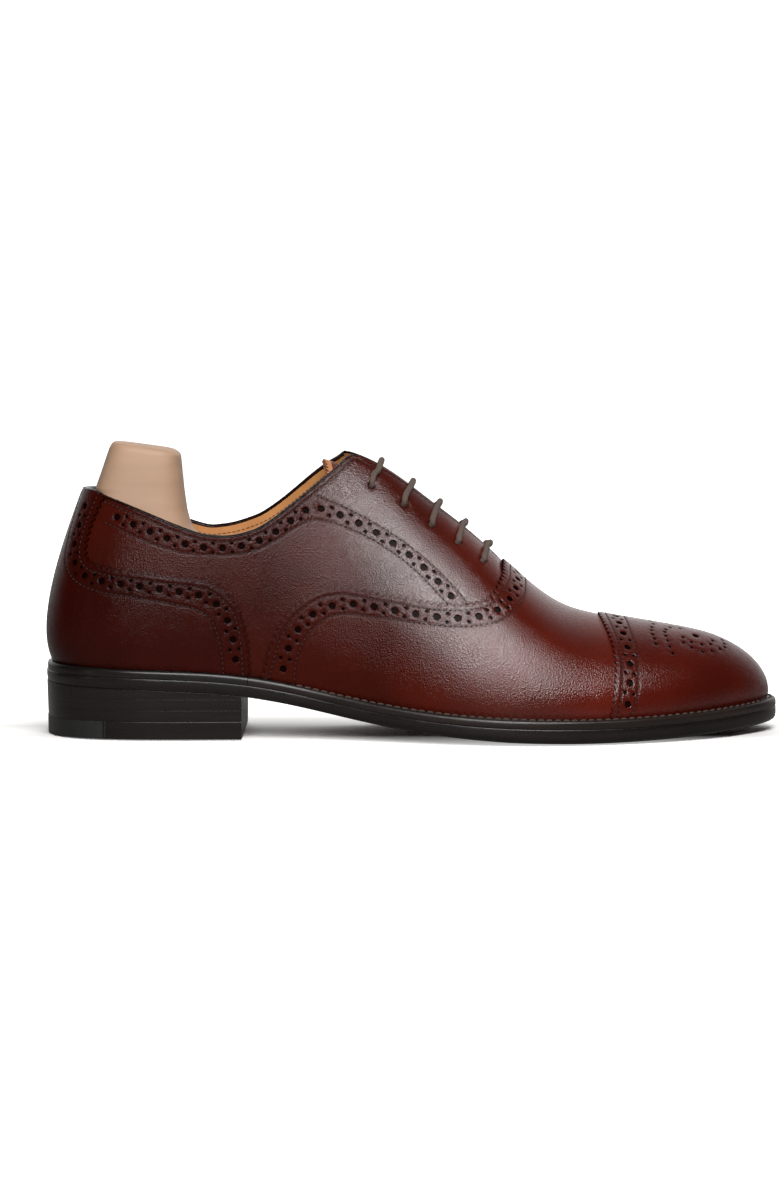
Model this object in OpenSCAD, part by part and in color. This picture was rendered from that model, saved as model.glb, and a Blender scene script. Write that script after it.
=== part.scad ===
// Leather oxford shoe (half brogue, right foot) with its wooden shoe tree.
// Frame: origin at the centre of the heel's bottom face, +X to the toe,
// +Y to the inner (medial) side, +Z up, millimetres.

/* [Shoe] */
// Length of the outsole from the back of the heel to the toe tip
outsole_length = 300; // [290:1:312]
// Thickness of the leather of the upper
upper_leather = 1.0; // [0.8:0.05:1.0]
// Thickness of the lining leather
lining_leather = 0.8; // [0.6:0.05:0.9]

/* [Sole and heel] */
// Thickness of the stitched welt
welt_thickness = 3.2; // [2.5:0.1:3.4]
// Width of the welt outside the upper at the ball of the foot
welt_width = 5; // [4:0.25:6]
// Thickness of the top piece and rubber tip that touch the ground
top_piece_thickness = 7; // [6:0.25:8]
// Thickness of the insole
insole_thickness = 2.5; // [2:0.1:2.6]

/* [Lace] */
// Diameter of the round waxed lace
lace_diameter = 2.5; // [2.2:0.1:2.6]
// Diameter of the punched lace holes
lace_hole = 3.6; // [3.4:0.1:4]

/* [Shoe tree] */
// Diameter of the tree's hinge pin
pin_diameter = 5; // [4:0.5:6]
// Radial clearance between the pin and the heel block's leaf
pin_clearance = 0.06; // [0.03:0.01:0.09]
// Half the width of the heel block at its widest
block_half_width = 20; // [17:0.5:20.5]

/* [Hidden] */
size = outsole_length / 300;
gap = 0.15;
stations = 17;
loop = 2 * stations;
// Depths are measured inward from the outside of the vamp.
cap_out = -upper_leather - 0.05;
cap_in = -0.1;
vamp_in = upper_leather;
quarter_out = vamp_in + gap;
quarter_in = quarter_out + upper_leather;
tape_out = quarter_in + 0.25;
tape_in = tape_out + 0.2;
lining_out = 2.8;
lining_in = lining_out + lining_leather;
tree_depth = 6.2;
// The upper starts just above the feather line, clear of the welt.
foot = 0.012;
pin_at = [53.5 * size, 0, 58 * size];
eyelet_stations = [7.52, 8.28, 8.93, 9.55, 10.14];
eyelet_rises = [0.835, 0.815, 0.795, 0.785, 0.77];
// Each bar of the lace leans this many sections toward the toe.
lace_lean = 0.24;
facing_end = 10.62;
join = 10.9;

calf = [0.27, 0.08, 0.07];
calf_dark = [0.16, 0.05, 0.05];
tan_lining = [0.80, 0.52, 0.27];
canvas = [0.85, 0.80, 0.68];
black_edge = [0.07, 0.06, 0.06];
board = [0.70, 0.52, 0.36];
cork = [0.62, 0.44, 0.27];
rubber = [0.05, 0.05, 0.05];
steel = [0.62, 0.63, 0.65];
brass = [0.78, 0.62, 0.30];
wood = [0.85, 0.68, 0.54];
lace_brown = [0.22, 0.17, 0.14];

// ---------- the last: sections round the foot ----------
// x, lateral y, medial y, z of the feather line; x, lateral y, medial y, z of
// the top line; outward flare and rise of the wall at the feather; outward
// reach and drop of the wall at the top.
SECTIONS = [
  [-37.8, 0, 0, 29.3, -18.9, 0, 0, 114, 9.5, 18, 12.4, 29],
  [-31.5, -20.5, 20.5, 29, -15, -13, 13, 114, 8, 18, 10, 28],
  [-12, -30, 30, 28.4, -5, -20, 20, 113.5, 4, 20, 4.5, 26],
  [13, -31, 30, 27.6, 11, -23, 23, 113, 3, 20, 4.5, 26],
  [38, -29.5, 26.5, 26.4, 31, -23, 22, 113.5, 2.6, 22, 6, 26],
  [62, -29, 23, 22.6, 50, -18.5, 17.5, 115.5, 2.2, 24, 10, 26],
  [80, -32, 22.5, 18.6, 68, -11, 10.5, 117, 2.4, 24, 13, 24],
  [97, -36.5, 25.5, 15.4, 86, -4.5, 4.5, 116.1, 2.6, 24, 16, 18],
  [115, -41, 31, 12.8, 103, -2.8, 2.8, 108.4, 2.8, 24, 19, 12],
  [133, -44.5, 37.5, 11.1, 120, -2.8, 2.8, 95, 2.8, 23, 21, 8],
  [150, -46.5, 43, 10.2, 137, -2.8, 2.8, 82.5, 2.8, 21, 22, 4],
  [168, -46.5, 46.5, 9.7, 154, 0, 0, 66, 2.8, 18, 24, 1],
  [186, -43, 46.5, 9.5, 172, 2, 2, 50.5, 2.8, 15, 26, 0],
  [204, -37, 44.5, 9.8, 190, 3.5, 3.5, 46.8, 2.8, 14, 25, 0],
  [222, -29, 40, 10.4, 209, 5, 5, 43.6, 2.8, 13, 23, 0],
  [240, -17.5, 32.5, 11.5, 226, 6.5, 6.5, 40.6, 2.8, 13, 20, 0],
  [254, -4, 21.5, 12.6, 226, 6.5, 6.5, 40.6, 2.8, 13, 18, 0],
  [260.3, 9, 9, 13, 226, 6.5, 6.5, 40.6, 2.8, 13, 18, 0]
];
toe_crown_fall = 0.17;

// Edges of the pieces seen from the side, as [x, z] points.
TOPLINE = [[-40, 99.8], [-19, 99.2], [-13, 96.8], [-5, 94], [6, 89.7], [17, 85.3],
  [27, 81.9], [33, 81.2], [38, 81.2], [43, 82], [49, 83.9], [54, 86.7],
  [60, 91], [66, 95.7], [72, 100.7], [79, 106.4], [84, 110.2], [88, 113.5],
  [90, 150]];
VAMP_EDGE = [[51.5, 24], [53, 28], [55, 36], [58.4, 44], [62.4, 50], [68, 55],
  [74, 58.5], [82, 60.3], [90, 59.5], [98, 58], [114, 55.5], [130, 54.2],
  [138, 54.7], [142, 55.4], [145.4, 57.5], [147.8, 61], [149.9, 65],
  [150.6, 69], [151, 90]];
// The inner side of the foot opening is cut a little higher than the outer one.
INNER_RISE = [[23, 0], [30, 0.8], [36, 1.9], [43, 2.9], [52, 3.6], [62, 4], [70, 4.8],
  [78, 4.4], [88, 2.2]];
INNER_TOPLINE = [for (p = TOPLINE) p[1] > 114 ? p : p + [0, lookup(p[0], INNER_RISE)]];
COUNTER_EDGE = [[-21.6, 120], [-21.5, 76], [-21, 71], [-17.8, 69], [-11, 67.9],
  [6, 65.5], [30, 62.4], [36, 58.4], [41, 52.5], [43.8, 45], [45.2, 36.7],
  [45.7, 20]];
CAP_EDGE_STATION = [[0, 12.3], [0.2, 12.42], [0.4, 12.66], [0.6, 12.84], [1, 12.95]];

// ---------- curves and the surface of the last ----------
function row(i) = let (r = (i + 2 * loop) % loop) r > stations ? loop - r : r;
function is_medial(i) = ((i + 2 * loop) % loop) > stations;
function unit(v) = v / norm(v);
function feather(i) = let (k = SECTIONS[row(i)])
  [k[0], is_medial(i) ? k[2] : k[1], k[3]] * size;
function top(i) = let (k = SECTIONS[row(i)])
  [k[4], is_medial(i) ? k[6] : k[5], k[7]] * size;
function outward(i) = let (d = feather(i + 1) - feather(i - 1))
  unit([d[1], -d[0], 0]);
function lean(i) = let (r = row(i), d = feather(i) - top(i))
  (r < 2 || r > 14) ? unit([d[0], d[1], 0]) : [0, is_medial(i) ? 1 : -1, 0];
function flare(i) = let (k = SECTIONS[row(i)])
  feather(i) + outward(i) * k[8] * size + [0, 0, k[9] * size];
function shoulder(i) = let (k = SECTIONS[row(i)], d = lean(i))
  top(i) + d * k[10] * size
  - [0, 0, (k[11] + (row(i) > 14 ? toe_crown_fall * d[0] * k[10] : 0)) * size];

FEATHER = [for (i = [0:loop - 1]) feather(i)];
FLARE = [for (i = [0:loop - 1]) flare(i)];
SHOULDER = [for (i = [0:loop - 1]) shoulder(i)];
TOP = [for (i = [0:loop - 1]) top(i)];

// Smooth closed curve through a ring of control points; t counts sections.
function ring(points, t) = let (i = floor(t), u = t - i, n = loop)
  points[(i - 1 + 2 * n) % n] * pow(1 - u, 3) / 6
  + points[(i + 2 * n) % n] * (3 * pow(u, 3) - 6 * u * u + 4) / 6
  + points[(i + 1 + 2 * n) % n] * (-3 * pow(u, 3) + 3 * u * u + 3 * u + 1) / 6
  + points[(i + 2 + 2 * n) % n] * pow(u, 3) / 6;
function wall(t) = [ring(FEATHER, t), ring(FLARE, t), ring(SHOULDER, t), ring(TOP, t)];
function up(w, s) = w[0] * pow(1 - s, 3) + w[1] * 3 * pow(1 - s, 2) * s
  + w[2] * 3 * (1 - s) * s * s + w[3] * pow(s, 3);
// Point of the last at section t (lateral above 0, medial below 0) and height
// share s, moved inward by a depth.
function skin_at(w, w_next, s, depth) = let (
    q = min(max(s, 0.005), 0.985),
    along = up(w_next, q) - up(w, q),
    upward = up(w, q + 0.01) - up(w, q - 0.004))
  up(w, s) - unit(cross(along, upward)) * depth;
function skin(t, s, depth) = skin_at(wall(t), wall(t + 0.02), s, depth);

// Height share at which section t meets an edge drawn from the side.
function meet(w, edge, drop, a = 0, b = 1, n = 13) = n == 0 ? (a + b) / 2 :
  let (m = (a + b) / 2, p = up(w, m))
  p[2] / size < lookup(p[0] / size, edge) - drop ? meet(w, edge, drop, m, b, n - 1)
                                                 : meet(w, edge, drop, a, m, n - 1);
function topline(t, drop = 0) = meet(wall(t), t < 0 ? INNER_TOPLINE : TOPLINE, drop);
function vamp_edge(t, drop = 0) = abs(t) >= join ? 1 : meet(wall(t), VAMP_EDGE, drop);
function counter_edge(t) = min(meet(wall(t), COUNTER_EDGE, 0), topline(t, 1));

// Plan point outside (or inside) the feather line, with its height.
function plan(t, margin) = let (a = ring(FEATHER, t), b = ring(FEATHER, t + 0.02),
    n = unit([b[1] - a[1], a[0] - b[0], 0])) a + n * margin;

// ---------- solids from grids of points ----------
function flat_list(v) = [for (a = v) for (b = a) b];
function proper(faces) = [for (f = faces)
  if (f[0] != f[1] && f[1] != f[2] && f[2] != f[0]) f];
function quad(a, b, c, d) = [[a, b, c], [a, c, d]];

// A sheet between two grids of the same size, closed round its border.
module sheet(outer, inner) {
  m = len(outer);
  n = len(outer[0]);
  function o(i, j) = i * n + j;
  function k(i, j) = m * n + i * n + j;
  faces = flat_list(concat(
    [for (i = [0:m - 2]) for (j = [0:n - 2])
      quad(o(i, j), o(i, j + 1), o(i + 1, j + 1), o(i + 1, j))],
    [for (i = [0:m - 2]) for (j = [0:n - 2])
      quad(k(i, j), k(i + 1, j), k(i + 1, j + 1), k(i, j + 1))],
    [for (i = [0:m - 2]) quad(o(i, 0), o(i + 1, 0), k(i + 1, 0), k(i, 0))],
    [for (i = [0:m - 2]) quad(o(i, n - 1), k(i, n - 1), k(i + 1, n - 1), o(i + 1, n - 1))],
    [for (j = [0:n - 2]) quad(o(0, j), k(0, j), k(0, j + 1), o(0, j + 1))],
    [for (j = [0:n - 2]) quad(o(m - 1, j), o(m - 1, j + 1), k(m - 1, j + 1), k(m - 1, j))]));
  polyhedron(points = flat_list(concat(outer, inner)), faces = faces, convexity = 8);
}

// Leather on one side (or round the heel): sections ts, from share low to high.
module strip(ts, low, high, rows, out, in) {
  grid = [for (t = ts) [wall(t), wall(t + 0.02), low(t), high(t), t]];
  sheet(
    [for (g = grid) [for (j = [0:rows]) let (s = g[2] + (g[3] - g[2]) * j / rows)
      skin_at(g[0], g[1], s, out(g[4], s))]],
    [for (g = grid) [for (j = [0:rows]) let (s = g[2] + (g[3] - g[2]) * j / rows)
      skin_at(g[0], g[1], s, in(g[4], s))]]);
}

// Leather over the forefoot, both sides at once. stations_at(i, s) is the
// section of column i; columns from `joined` on meet over the ridge, and the
// last column may close at the toe.
module hood(columns, station_at, high, rows, joined, closes, out, in) {
  n = rows + 1;
  last = columns - 1;
  function s_of(i, j) = foot + (high(station_at(i, 0.5)) - foot) * j / rows;
  function grid(side, depth) = [for (i = [0:last]) for (j = [0:rows])
    let (s = s_of(i, j), t = station_at(i, s)) skin(side * t, s, depth(t, s))];
  points = concat(grid(1, out), grid(-1, out), grid(1, in), grid(-1, in));
  function pole(i) = closes && station_at(i, 1) > stations - 1.01;
  function id(layer, side, i, j) = let (
      ridge = j == rows && i >= joined,
      i2 = ridge && pole(i) ? last : i,
      s2 = (ridge || (closes && i == last)) ? 0 : side)
    ((layer * 2 + s2) * columns + i2) * n + j;
  // Faces of one layer and side; turn swaps which way they look.
  function patch(layer, side, turn) = flat_list(
    [for (i = [0:last - 1]) for (j = [0:rows - 1]) let (
      a = id(layer, side, i, j), b = id(layer, side, i, j + 1),
      c = id(layer, side, i + 1, j + 1), d = id(layer, side, i + 1, j))
      turn ? quad(a, d, c, b) : quad(a, b, c, d)]);
  function border(i, j, i2, j2, side, turn) = let (
      a = id(0, side, i, j), b = id(0, side, i2, j2),
      c = id(1, side, i2, j2), d = id(1, side, i, j))
    turn ? quad(a, d, c, b) : quad(a, b, c, d);
  function rim(side, turn) = flat_list(concat(
    [for (i = [0:last - 1]) border(i, 0, i + 1, 0, side, turn)],
    [for (i = [0:last - 1]) if (i < joined) border(i, rows, i + 1, rows, side, !turn)],
    [for (j = [0:rows - 1]) border(0, j, 0, j + 1, side, !turn)],
    closes ? [] : [for (j = [0:rows - 1]) border(last, j, last, j + 1, side, turn)]));
  polyhedron(points = points, convexity = 10, faces = proper(concat(
    patch(0, 0, false), patch(0, 1, true), patch(1, 0, true), patch(1, 1, false),
    rim(0, false), rim(1, true))));
}

// A plate following the sole: sections t0 to t1, margins and heights by section.
module plate(ts, top_margin, low_margin, high, low) {
  n = len(ts);
  closes = ts[n - 1] == stations;
  starts = ts[0] == 0;
  function side_points(side, margin, z) = [for (t = ts)
    let (p = plan(side * t, margin(t))) [p[0], p[1], z(t)]];
  points = concat(side_points(1, top_margin, high), side_points(-1, top_margin, high),
    side_points(1, low_margin, low), side_points(-1, low_margin, low));
  function id(layer, side, i) = let (
      s2 = (closes && i == n - 1) || (starts && i == 0) ? 0 : side)
    (layer * 2 + s2) * n + i;
  faces = flat_list(concat(
    [for (i = [0:n - 2]) quad(id(0, 0, i), id(0, 1, i), id(0, 1, i + 1), id(0, 0, i + 1))],
    [for (i = [0:n - 2]) quad(id(1, 0, i), id(1, 0, i + 1), id(1, 1, i + 1), id(1, 1, i))],
    [for (i = [0:n - 2]) quad(id(0, 0, i), id(0, 0, i + 1), id(1, 0, i + 1), id(1, 0, i))],
    [for (i = [0:n - 2]) quad(id(0, 1, i), id(1, 1, i), id(1, 1, i + 1), id(0, 1, i + 1))],
    starts ? [] : [quad(id(0, 0, 0), id(1, 0, 0), id(1, 1, 0), id(0, 1, 0))],
    closes ? [] : [quad(id(0, 0, n - 1), id(0, 1, n - 1), id(1, 1, n - 1), id(1, 0, n - 1))]));
  polyhedron(points = points, faces = proper(faces), convexity = 6);
}

// A band following the feather line, either from one waist round the toe to the
// other, or (when ts starts at the back of the heel) round the heel.
module band(ts, outer_margin, inner_margin, high, low) {
  last = len(ts) - 1;
  path = ts[0] == 0
    ? concat([for (i = [last:-1:1]) -ts[i]], ts)
    : concat(ts, [for (i = [last - 1:-1:0]) -ts[i]]);
  m = len(path);
  function corner(t, q) = let (a = abs(t),
      p = plan(t, q == 0 || q == 3 ? outer_margin(a) : inner_margin(a)))
    [p[0], p[1], q < 2 ? high(a) : low(a)];
  function walls(i) = [for (q = [0:3]) for (f =
    quad(4 * i + q, 4 * i + (q + 1) % 4, 4 * i + 4 + (q + 1) % 4, 4 * i + 4 + q)) f];
  polyhedron(convexity = 8,
    points = [for (t = path) for (q = [0:3]) corner(t, q)],
    faces = concat(flat_list([for (i = [0:m - 2]) walls(i)]),
      quad(0, 3, 2, 1), quad(4 * m - 4, 4 * m - 3, 4 * m - 2, 4 * m - 1)));
}

// A solid through closed loops of the same number of points.
module loft(loops) {
  m = len(loops);
  n = len(loops[0]);
  mean = function (v) [for (a = [0:2]) let (c = [for (p = v) p[a]]) c * [for (p = v) 1] / len(v)];
  points = concat(flat_list(loops), [mean(loops[0]), mean(loops[m - 1])]);
  sides = [for (i = [0:m - 2]) for (j = [0:n - 1])
    quad(i * n + j, i * n + (j + 1) % n, (i + 1) * n + (j + 1) % n, (i + 1) * n + j)];
  ends = concat([for (j = [0:n - 1]) [m * n, (j + 1) % n, j]],
    [for (j = [0:n - 1]) [m * n + 1, (m - 1) * n + j, (m - 1) * n + (j + 1) % n]]);
  polyhedron(points = points, faces = concat(flat_list(sides), ends), convexity = 6);
}

// A round cord swept along a path of points; the cross-section is carried along
// without twisting, starting from the direction `first`.
module cord(path, diameter, first, sides = 8) {
  m = len(path);
  heading = [for (i = [0:m - 1]) unit(path[min(i + 1, m - 1)] - path[max(i - 1, 0)])];
  square = function (v, d) unit(v - d * (v * d));
  across = [for (i = 0, a = square(first, heading[0]); i < m;
    i = i + 1, a = i < m ? square(a, heading[i]) : a) a];
  loft([for (i = [0:m - 1]) let (b = cross(heading[i], across[i]))
    [for (k = [0:sides - 1]) path[i]
      + (across[i] * cos(360 * k / sides) + b * sin(360 * k / sides)) * diameter / 2]]);
}

// ---------- the upper ----------
// Sections shared by all the layers, so that neighbours follow each other.
heel_half = [0.04, 0.35, 0.7, 1.1, 1.55, 2.1, 2.7, 3.3, 3.9, 4.3, 4.8];
waist_sections = [5.3, 5.8, 6.4, 7.2, 7.9, 8.6, 9.3, 9.8, 10.15, 10.4, 10.52];
side_sections = concat(heel_half, waist_sections, [facing_end]);
toe_sections = [13.6, 14.2, 14.8, 15.3, 15.7, 16, 16.25, 16.5, 16.75, 17];
function backwards(v) = [for (i = [len(v) - 1:-1:0]) v[i]];
function minus(v) = [for (t = backwards(v)) -t];
function on_side(v, side) = side > 0 ? v : minus(v);
function between(ts, a, b) = [for (t = ts) if (t >= a && t <= b) t];
fixed = function (depth) function (t, s) depth;

// The toe cap starts at its curved seam and closes at the toe tip. Pieces under
// it start a little further forward.
lap = 0.45;
function cap_edge(s, forward) = lookup(s, CAP_EDGE_STATION) + forward;

module toe_hood(starts, out, in) {
  n = len(starts);
  hood(n + len(toe_sections),
    function (i, s) i < n ? cap_edge(s, starts[i]) : toe_sections[i - n],
    function (t) 1, 10, 0, true, fixed(out), fixed(in));
}

module toe_cap() {
  color(calf) toe_hood([0, lap], cap_out, cap_in);
}

vamp_back = [4.6, 4.7, 4.8, 5.05];
// The leather is pared thinner where it laps over the facings.
function pared(t) = lookup(abs(t), [[8.8, 0], [9.5, 0.3], [10.9, 0.3], [11.6, 0]]);
vamp_columns = concat(waist_sections, [facing_end, facing_end + 0.04, 10.78, join, 11.3, 11.8]);

// Columns of a forefoot layer: fixed sections, then the seam under the cap.
module vamp_layer(ts, drop, out, in, rows) {
  n = len(ts);
  hood(n + 2,
    function (i, s) i < n ? ts[i] : cap_edge(s, i == n ? 0 : lap),
    function (t) max(vamp_edge(t, drop), 0.03), rows,
    len([for (t = ts) if (t < join) t]), false, out, in);
}

module vamp() {
  color(calf) vamp_layer(concat(vamp_back, vamp_columns), 0, fixed(0),
    function (t, s) vamp_in - pared(t), 10);
}

module vamp_interlining() {
  color(canvas) vamp_layer(vamp_columns, 13, fixed(quarter_out + 0.2),
    fixed(lining_out - 3 * gap), 10);
}

module toe_puff() {
  color(canvas) toe_hood([lap + 0.04], 0.05, lining_out - gap);
}

module vamp_lining() {
  color(tan_lining) vamp_layer(vamp_columns, 6, fixed(lining_out), fixed(lining_in), 10);
  color(tan_lining) toe_hood([lap + 0.04], lining_out, lining_in);
}

// Lace holes: short cylinders square to the facing.
function at_eyelet(i, side, depth, ahead = 0, above = 0) =
  skin(side * (eyelet_stations[i] + ahead), eyelet_rises[i] + above, depth);
function eyelet_axis(i, side) = unit(at_eyelet(i, side, 10) - at_eyelet(i, side, 0));
module lace_holes(side) {
  for (i = [0:4]) {
    a = eyelet_axis(i, side);
    translate(at_eyelet(i, side, -1))
      rotate([0, acos(a[2]), atan2(a[1], a[0])])
        cylinder(d = lace_hole, h = lining_in + 2.2, $fn = 16);
  }
}

quarter_low = function (t) abs(t) < 5.1 ? foot : vamp_edge(t, 9);
module quarter(side) {
  color(calf) difference() {
    strip(on_side(side_sections, side), quarter_low, function (t) topline(t), 12,
      fixed(quarter_out), fixed(quarter_in));
    lace_holes(side);
  }
}
module quarter_lateral() quarter(1);
module quarter_medial() quarter(-1);

module eyelet_tape(side) {
  color(canvas) difference() {
    strip(on_side(between(side_sections, 7.2, 10.4), side), function (t) 0.66,
      function (t) min(0.96, topline(t, 1.5)), 5,
      fixed(tape_out), fixed(tape_in));
    lace_holes(side);
  }
}
module eyelet_tape_lateral() eyelet_tape(1);
module eyelet_tape_medial() eyelet_tape(-1);

counter_half = concat(between(heel_half, 0, 3.9), [4.05, 4.18, 4.26, 4.3]);
module counter_cover() {
  color(calf) strip(concat(minus(counter_half), counter_half), function (t) foot,
    function (t) max(0.04, counter_edge(t)), 12, fixed(0), fixed(vamp_in));
}

// How much the heel stiffener pushes the lining inward.
function stiffening(t, s) = 1.2 * max(0, min(1, (5 - abs(t)) / 1.6))
  * max(0, min(1, (0.62 - s) / 0.2));
module heel_stiffener() {
  color(canvas) strip(concat(minus(heel_half), heel_half), function (t) foot,
    function (t) 0.6, 9, fixed(quarter_in + gap),
    function (t, s) lining_out - 2 * gap + stiffening(t, s));
}

lining_low = function (t) abs(t) < 5.1 ? foot : vamp_edge(t, 5.1);
module quarter_lining(side) {
  color(tan_lining) difference() {
    strip(on_side(side_sections, side), lining_low, function (t) topline(t), 12,
      function (t, s) lining_out + stiffening(t, s),
      function (t, s) lining_in + stiffening(t, s));
    lace_holes(side);
  }
}
module quarter_lining_lateral() quarter_lining(1);
module quarter_lining_medial() quarter_lining(-1);

binding_half = between(side_sections, 0, 6.4);
module topline_binding() {
  color(calf_dark) strip(concat(minus(binding_half), binding_half),
    function (t) topline(t, -0.25),
    function (t) topline(t, -1.6), 1, fixed(quarter_out), fixed(lining_in));
}

// ---------- tongue and lace ----------
tongue_leather = 1.4;
tongue_sections = [6.6, 6.9, 7.4, 8, 8.6, 9.2, 9.8, 10.2, 10.7, 11];
function tongue_depth(t) = lookup(t, [[6.6, 6], [7.4, 8.3], [9.2, 8.3], [10.2, 8], [10.7, 6.4],
  [11, 4.6]]);
function tongue_half(t) = lookup(t, [[6.6, 0.8], [7.4, 0.66], [10.4, 0.66], [11, 0.78]]);
// How the ridge over the instep faces: forward by this many degrees from straight up.
ridge_tilt = 32;
ridge_up = [sin(ridge_tilt), 0, cos(ridge_tilt)];
function ridge(t) = (up(wall(t), 1) + up(wall(-t), 1)) / 2;
// A parabola across the foot through both edges and the crown.
function tongue_row(t, sink) = let (
    d = tongue_depth(t) + sink,
    a = skin(t, tongue_half(t), d),
    b = skin(-t, tongue_half(t), d),
    c = ridge(t) - ridge_up * d,
    k = 2 * c - (a + b) / 2)
  [for (j = [0:10]) let (w = j / 10)
    a * (1 - w) * (1 - w) + k * 2 * w * (1 - w) + b * w * w];
module tongue() {
  color(calf_dark) sheet([for (t = tongue_sections) tongue_row(t, 0)],
    [for (t = tongue_sections) tongue_row(t, tongue_leather)]);
}

// One lace: five straight bars, joined under the facings, both ends tucked in.
lace_clear = lace_diameter / 2 + 0.25;
bar_depth = quarter_out - lace_clear;
under_depth = lining_in + lace_clear;
function on_bar(i, side, share, lean) =
  skin(side * (eyelet_stations[i] + lace_lean * lean), share, bar_depth);
function over(i, side) = [
  at_eyelet(i, side, lining_in + 0.2), at_eyelet(i, side, 1),
  at_eyelet(i, side, -0.8, 0, 0.005),
  on_bar(i, side, eyelet_rises[i] + 0.04, 0.25),
  on_bar(i, side, 0.92, 0.65), on_bar(i, side, 0.99, 1)];
function under(i, k, side) = [
  at_eyelet(i, side, under_depth + 0.3),
  for (share = [0.3, 0.7]) skin(
    side * (eyelet_stations[i] * (1 - share) + eyelet_stations[k] * share),
    eyelet_rises[i] * (1 - share) + eyelet_rises[k] * share - 0.01, under_depth),
  at_eyelet(k, side, under_depth + 0.3)];
function crown(i) = [ridge(eyelet_stations[i] + lace_lean)
  + ridge_up * (lace_clear - quarter_out + 0.2)];
function bar(i, from) = concat(over(i, from), crown(i), backwards(over(i, -from)));
module lace() {
  color(lace_brown) cord(concat(
    [at_eyelet(0, 1, under_depth, -0.35, -0.04), at_eyelet(0, 1, under_depth, -0.05)],
    bar(0, 1), under(0, 1, -1), bar(1, -1), under(1, 2, 1), bar(2, 1), under(2, 3, -1),
    bar(3, -1), under(3, 4, 1), bar(4, 1),
    [at_eyelet(4, -1, under_depth, 0.05), at_eyelet(4, -1, under_depth, 0.4, -0.04)]),
    lace_diameter, [0, 1, 1]);
}

// ---------- insole, welt and sole ----------
// Section at which the heel ends, under the waist.
breast = 4.22;
sole_sections = concat([0, 0.25, 0.5, 0.75, 1, 1.35, 1.7, 2, 2.5, 3, 3.5, 4, breast, 4.4],
  [5, 6, 7, 8, 9, 10, 11, 12, 13], toe_sections);
function seat(t) = ring(FEATHER, t)[2];
// Height of the feather line above the walking surface.
function build_up(t) = size * lookup(t, [[0, 8], [4, 8.2], [6, 8.4], [8, 9], [10, 9.5], [17, 9.5]]);
edge_margin = function (t) welt_width * lookup(t, [[0, 0.4], [1, 0.32], [4, 0.4], [6, 0.5],
  [8, 0.75], [10, 0.95], [15, 1], [17, 0.72]]);

// How far inside the feather line each inner piece ends.
insole_inset = 5.4;
sock_inset = 6.4;
welt_inset = 4;
rib_inset = [4.3, 6.2];
filler_inset = 6.6;
sock_thickness = 0.9;
touch = 0.02;
function level(offset) = function (t) seat(t) + offset;
function trimmed(distance) = function (t) edge_margin(t) - distance;
function inset(distance) = function (t) -distance;
sock_low = 2 * gap + insole_thickness;
welt_low = -gap - welt_thickness;
module insole() {
  color(board) plate(sole_sections, inset(insole_inset), inset(insole_inset),
    level(gap + insole_thickness), level(gap));
}
module sock_lining() {
  color(tan_lining) plate(sole_sections, inset(sock_inset), inset(sock_inset),
    level(sock_low + sock_thickness), level(sock_low));
}
module welt() {
  color(calf_dark) band(between(sole_sections, 4.4, 17), edge_margin,
    inset(welt_inset), level(-gap), level(welt_low));
}
module insole_rib() {
  color(canvas) band(between(sole_sections, 4.4, 17), inset(rib_inset[0]),
    inset(rib_inset[1]), level(-touch), level(-welt_thickness));
}
module heel_rand() {
  color(calf_dark) band(concat(heel_sections_plan, [4.32]),
    function (t) edge_margin(t) - 0.4, inset(insole_inset + 0.6), level(-gap), level(welt_low));
}
module cork_filler() {
  color(cork) plate(between(sole_sections, 9, 16), inset(filler_inset), inset(filler_inset),
    level(-touch), level(welt_low));
}
shank_half_width = 7;
shank_thickness = 1.5;
module shank() {
  rows = function (drop) [for (t = between(sole_sections, 3, 8)) let (
      c = (ring(FEATHER, t) + ring(FEATHER, -t)) / 2)
    [for (y = [-shank_half_width, shank_half_width]) c + [0, y, -drop]]];
  color(steel) sheet(rows(2 * gap), rows(2 * gap + shank_thickness));
}
module outsole() {
  color(black_edge) plate(sole_sections, edge_margin, trimmed(0.8), level(welt_low - gap),
    function (t) seat(t) - build_up(t));
}

// ---------- heel ----------
heel_sections_plan = between(sole_sections, 0, breast);
lift_top = 16 * size;
lift_gap = 0.1;
module heel_seat_lift() {
  color(black_edge) plate(heel_sections_plan, edge_margin, trimmed(0.15),
    function (t) seat(t) - build_up(t) - lift_gap, function (t) lift_top + lift_gap);
}
module heel_lower_lifts() {
  middle = (top_piece_thickness + lift_top) / 2;
  color(black_edge) {
    plate(heel_sections_plan, trimmed(0.2), trimmed(0.4),
      function (t) lift_top, function (t) middle + lift_gap / 2);
    plate(heel_sections_plan, trimmed(0.4), trimmed(0.6),
      function (t) middle - lift_gap / 2, function (t) top_piece_thickness + lift_gap);
  }
}
// Eight nails through the top piece and the rubber tip, in two mirrored rows.
NAILS = [[-22, 10], [-10, 18], [10, 20], [32, 18]];
nail_diameter = 2;
nail_clearance = 0.1;
module nails(d, low, high) {
  for (p = NAILS, s = [-1, 1])
    translate([p[0] * size, s * p[1] * size, low])
      cylinder(d = d, h = high - low, $fn = 16);
}
module nail_holes() {
  nails(nail_diameter + 2 * nail_clearance, -1, top_piece_thickness + 1);
}
module top_piece() {
  color(calf_dark) difference() {
    plate(between(heel_sections_plan, 2, breast), trimmed(0.6), trimmed(0.8),
      function (t) top_piece_thickness, function (t) 0);
    nail_holes();
  }
}
module rubber_tip() {
  color(rubber) difference() {
    plate([for (t = between(heel_sections_plan, 0, 2)) t < 2 ? t : 1.98],
      trimmed(0.3), trimmed(0.5), function (t) top_piece_thickness, function (t) 0);
    nail_holes();
  }
}
module heel_nails() {
  color(brass) nails(nail_diameter, 0.2, top_piece_thickness);
}

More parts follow.
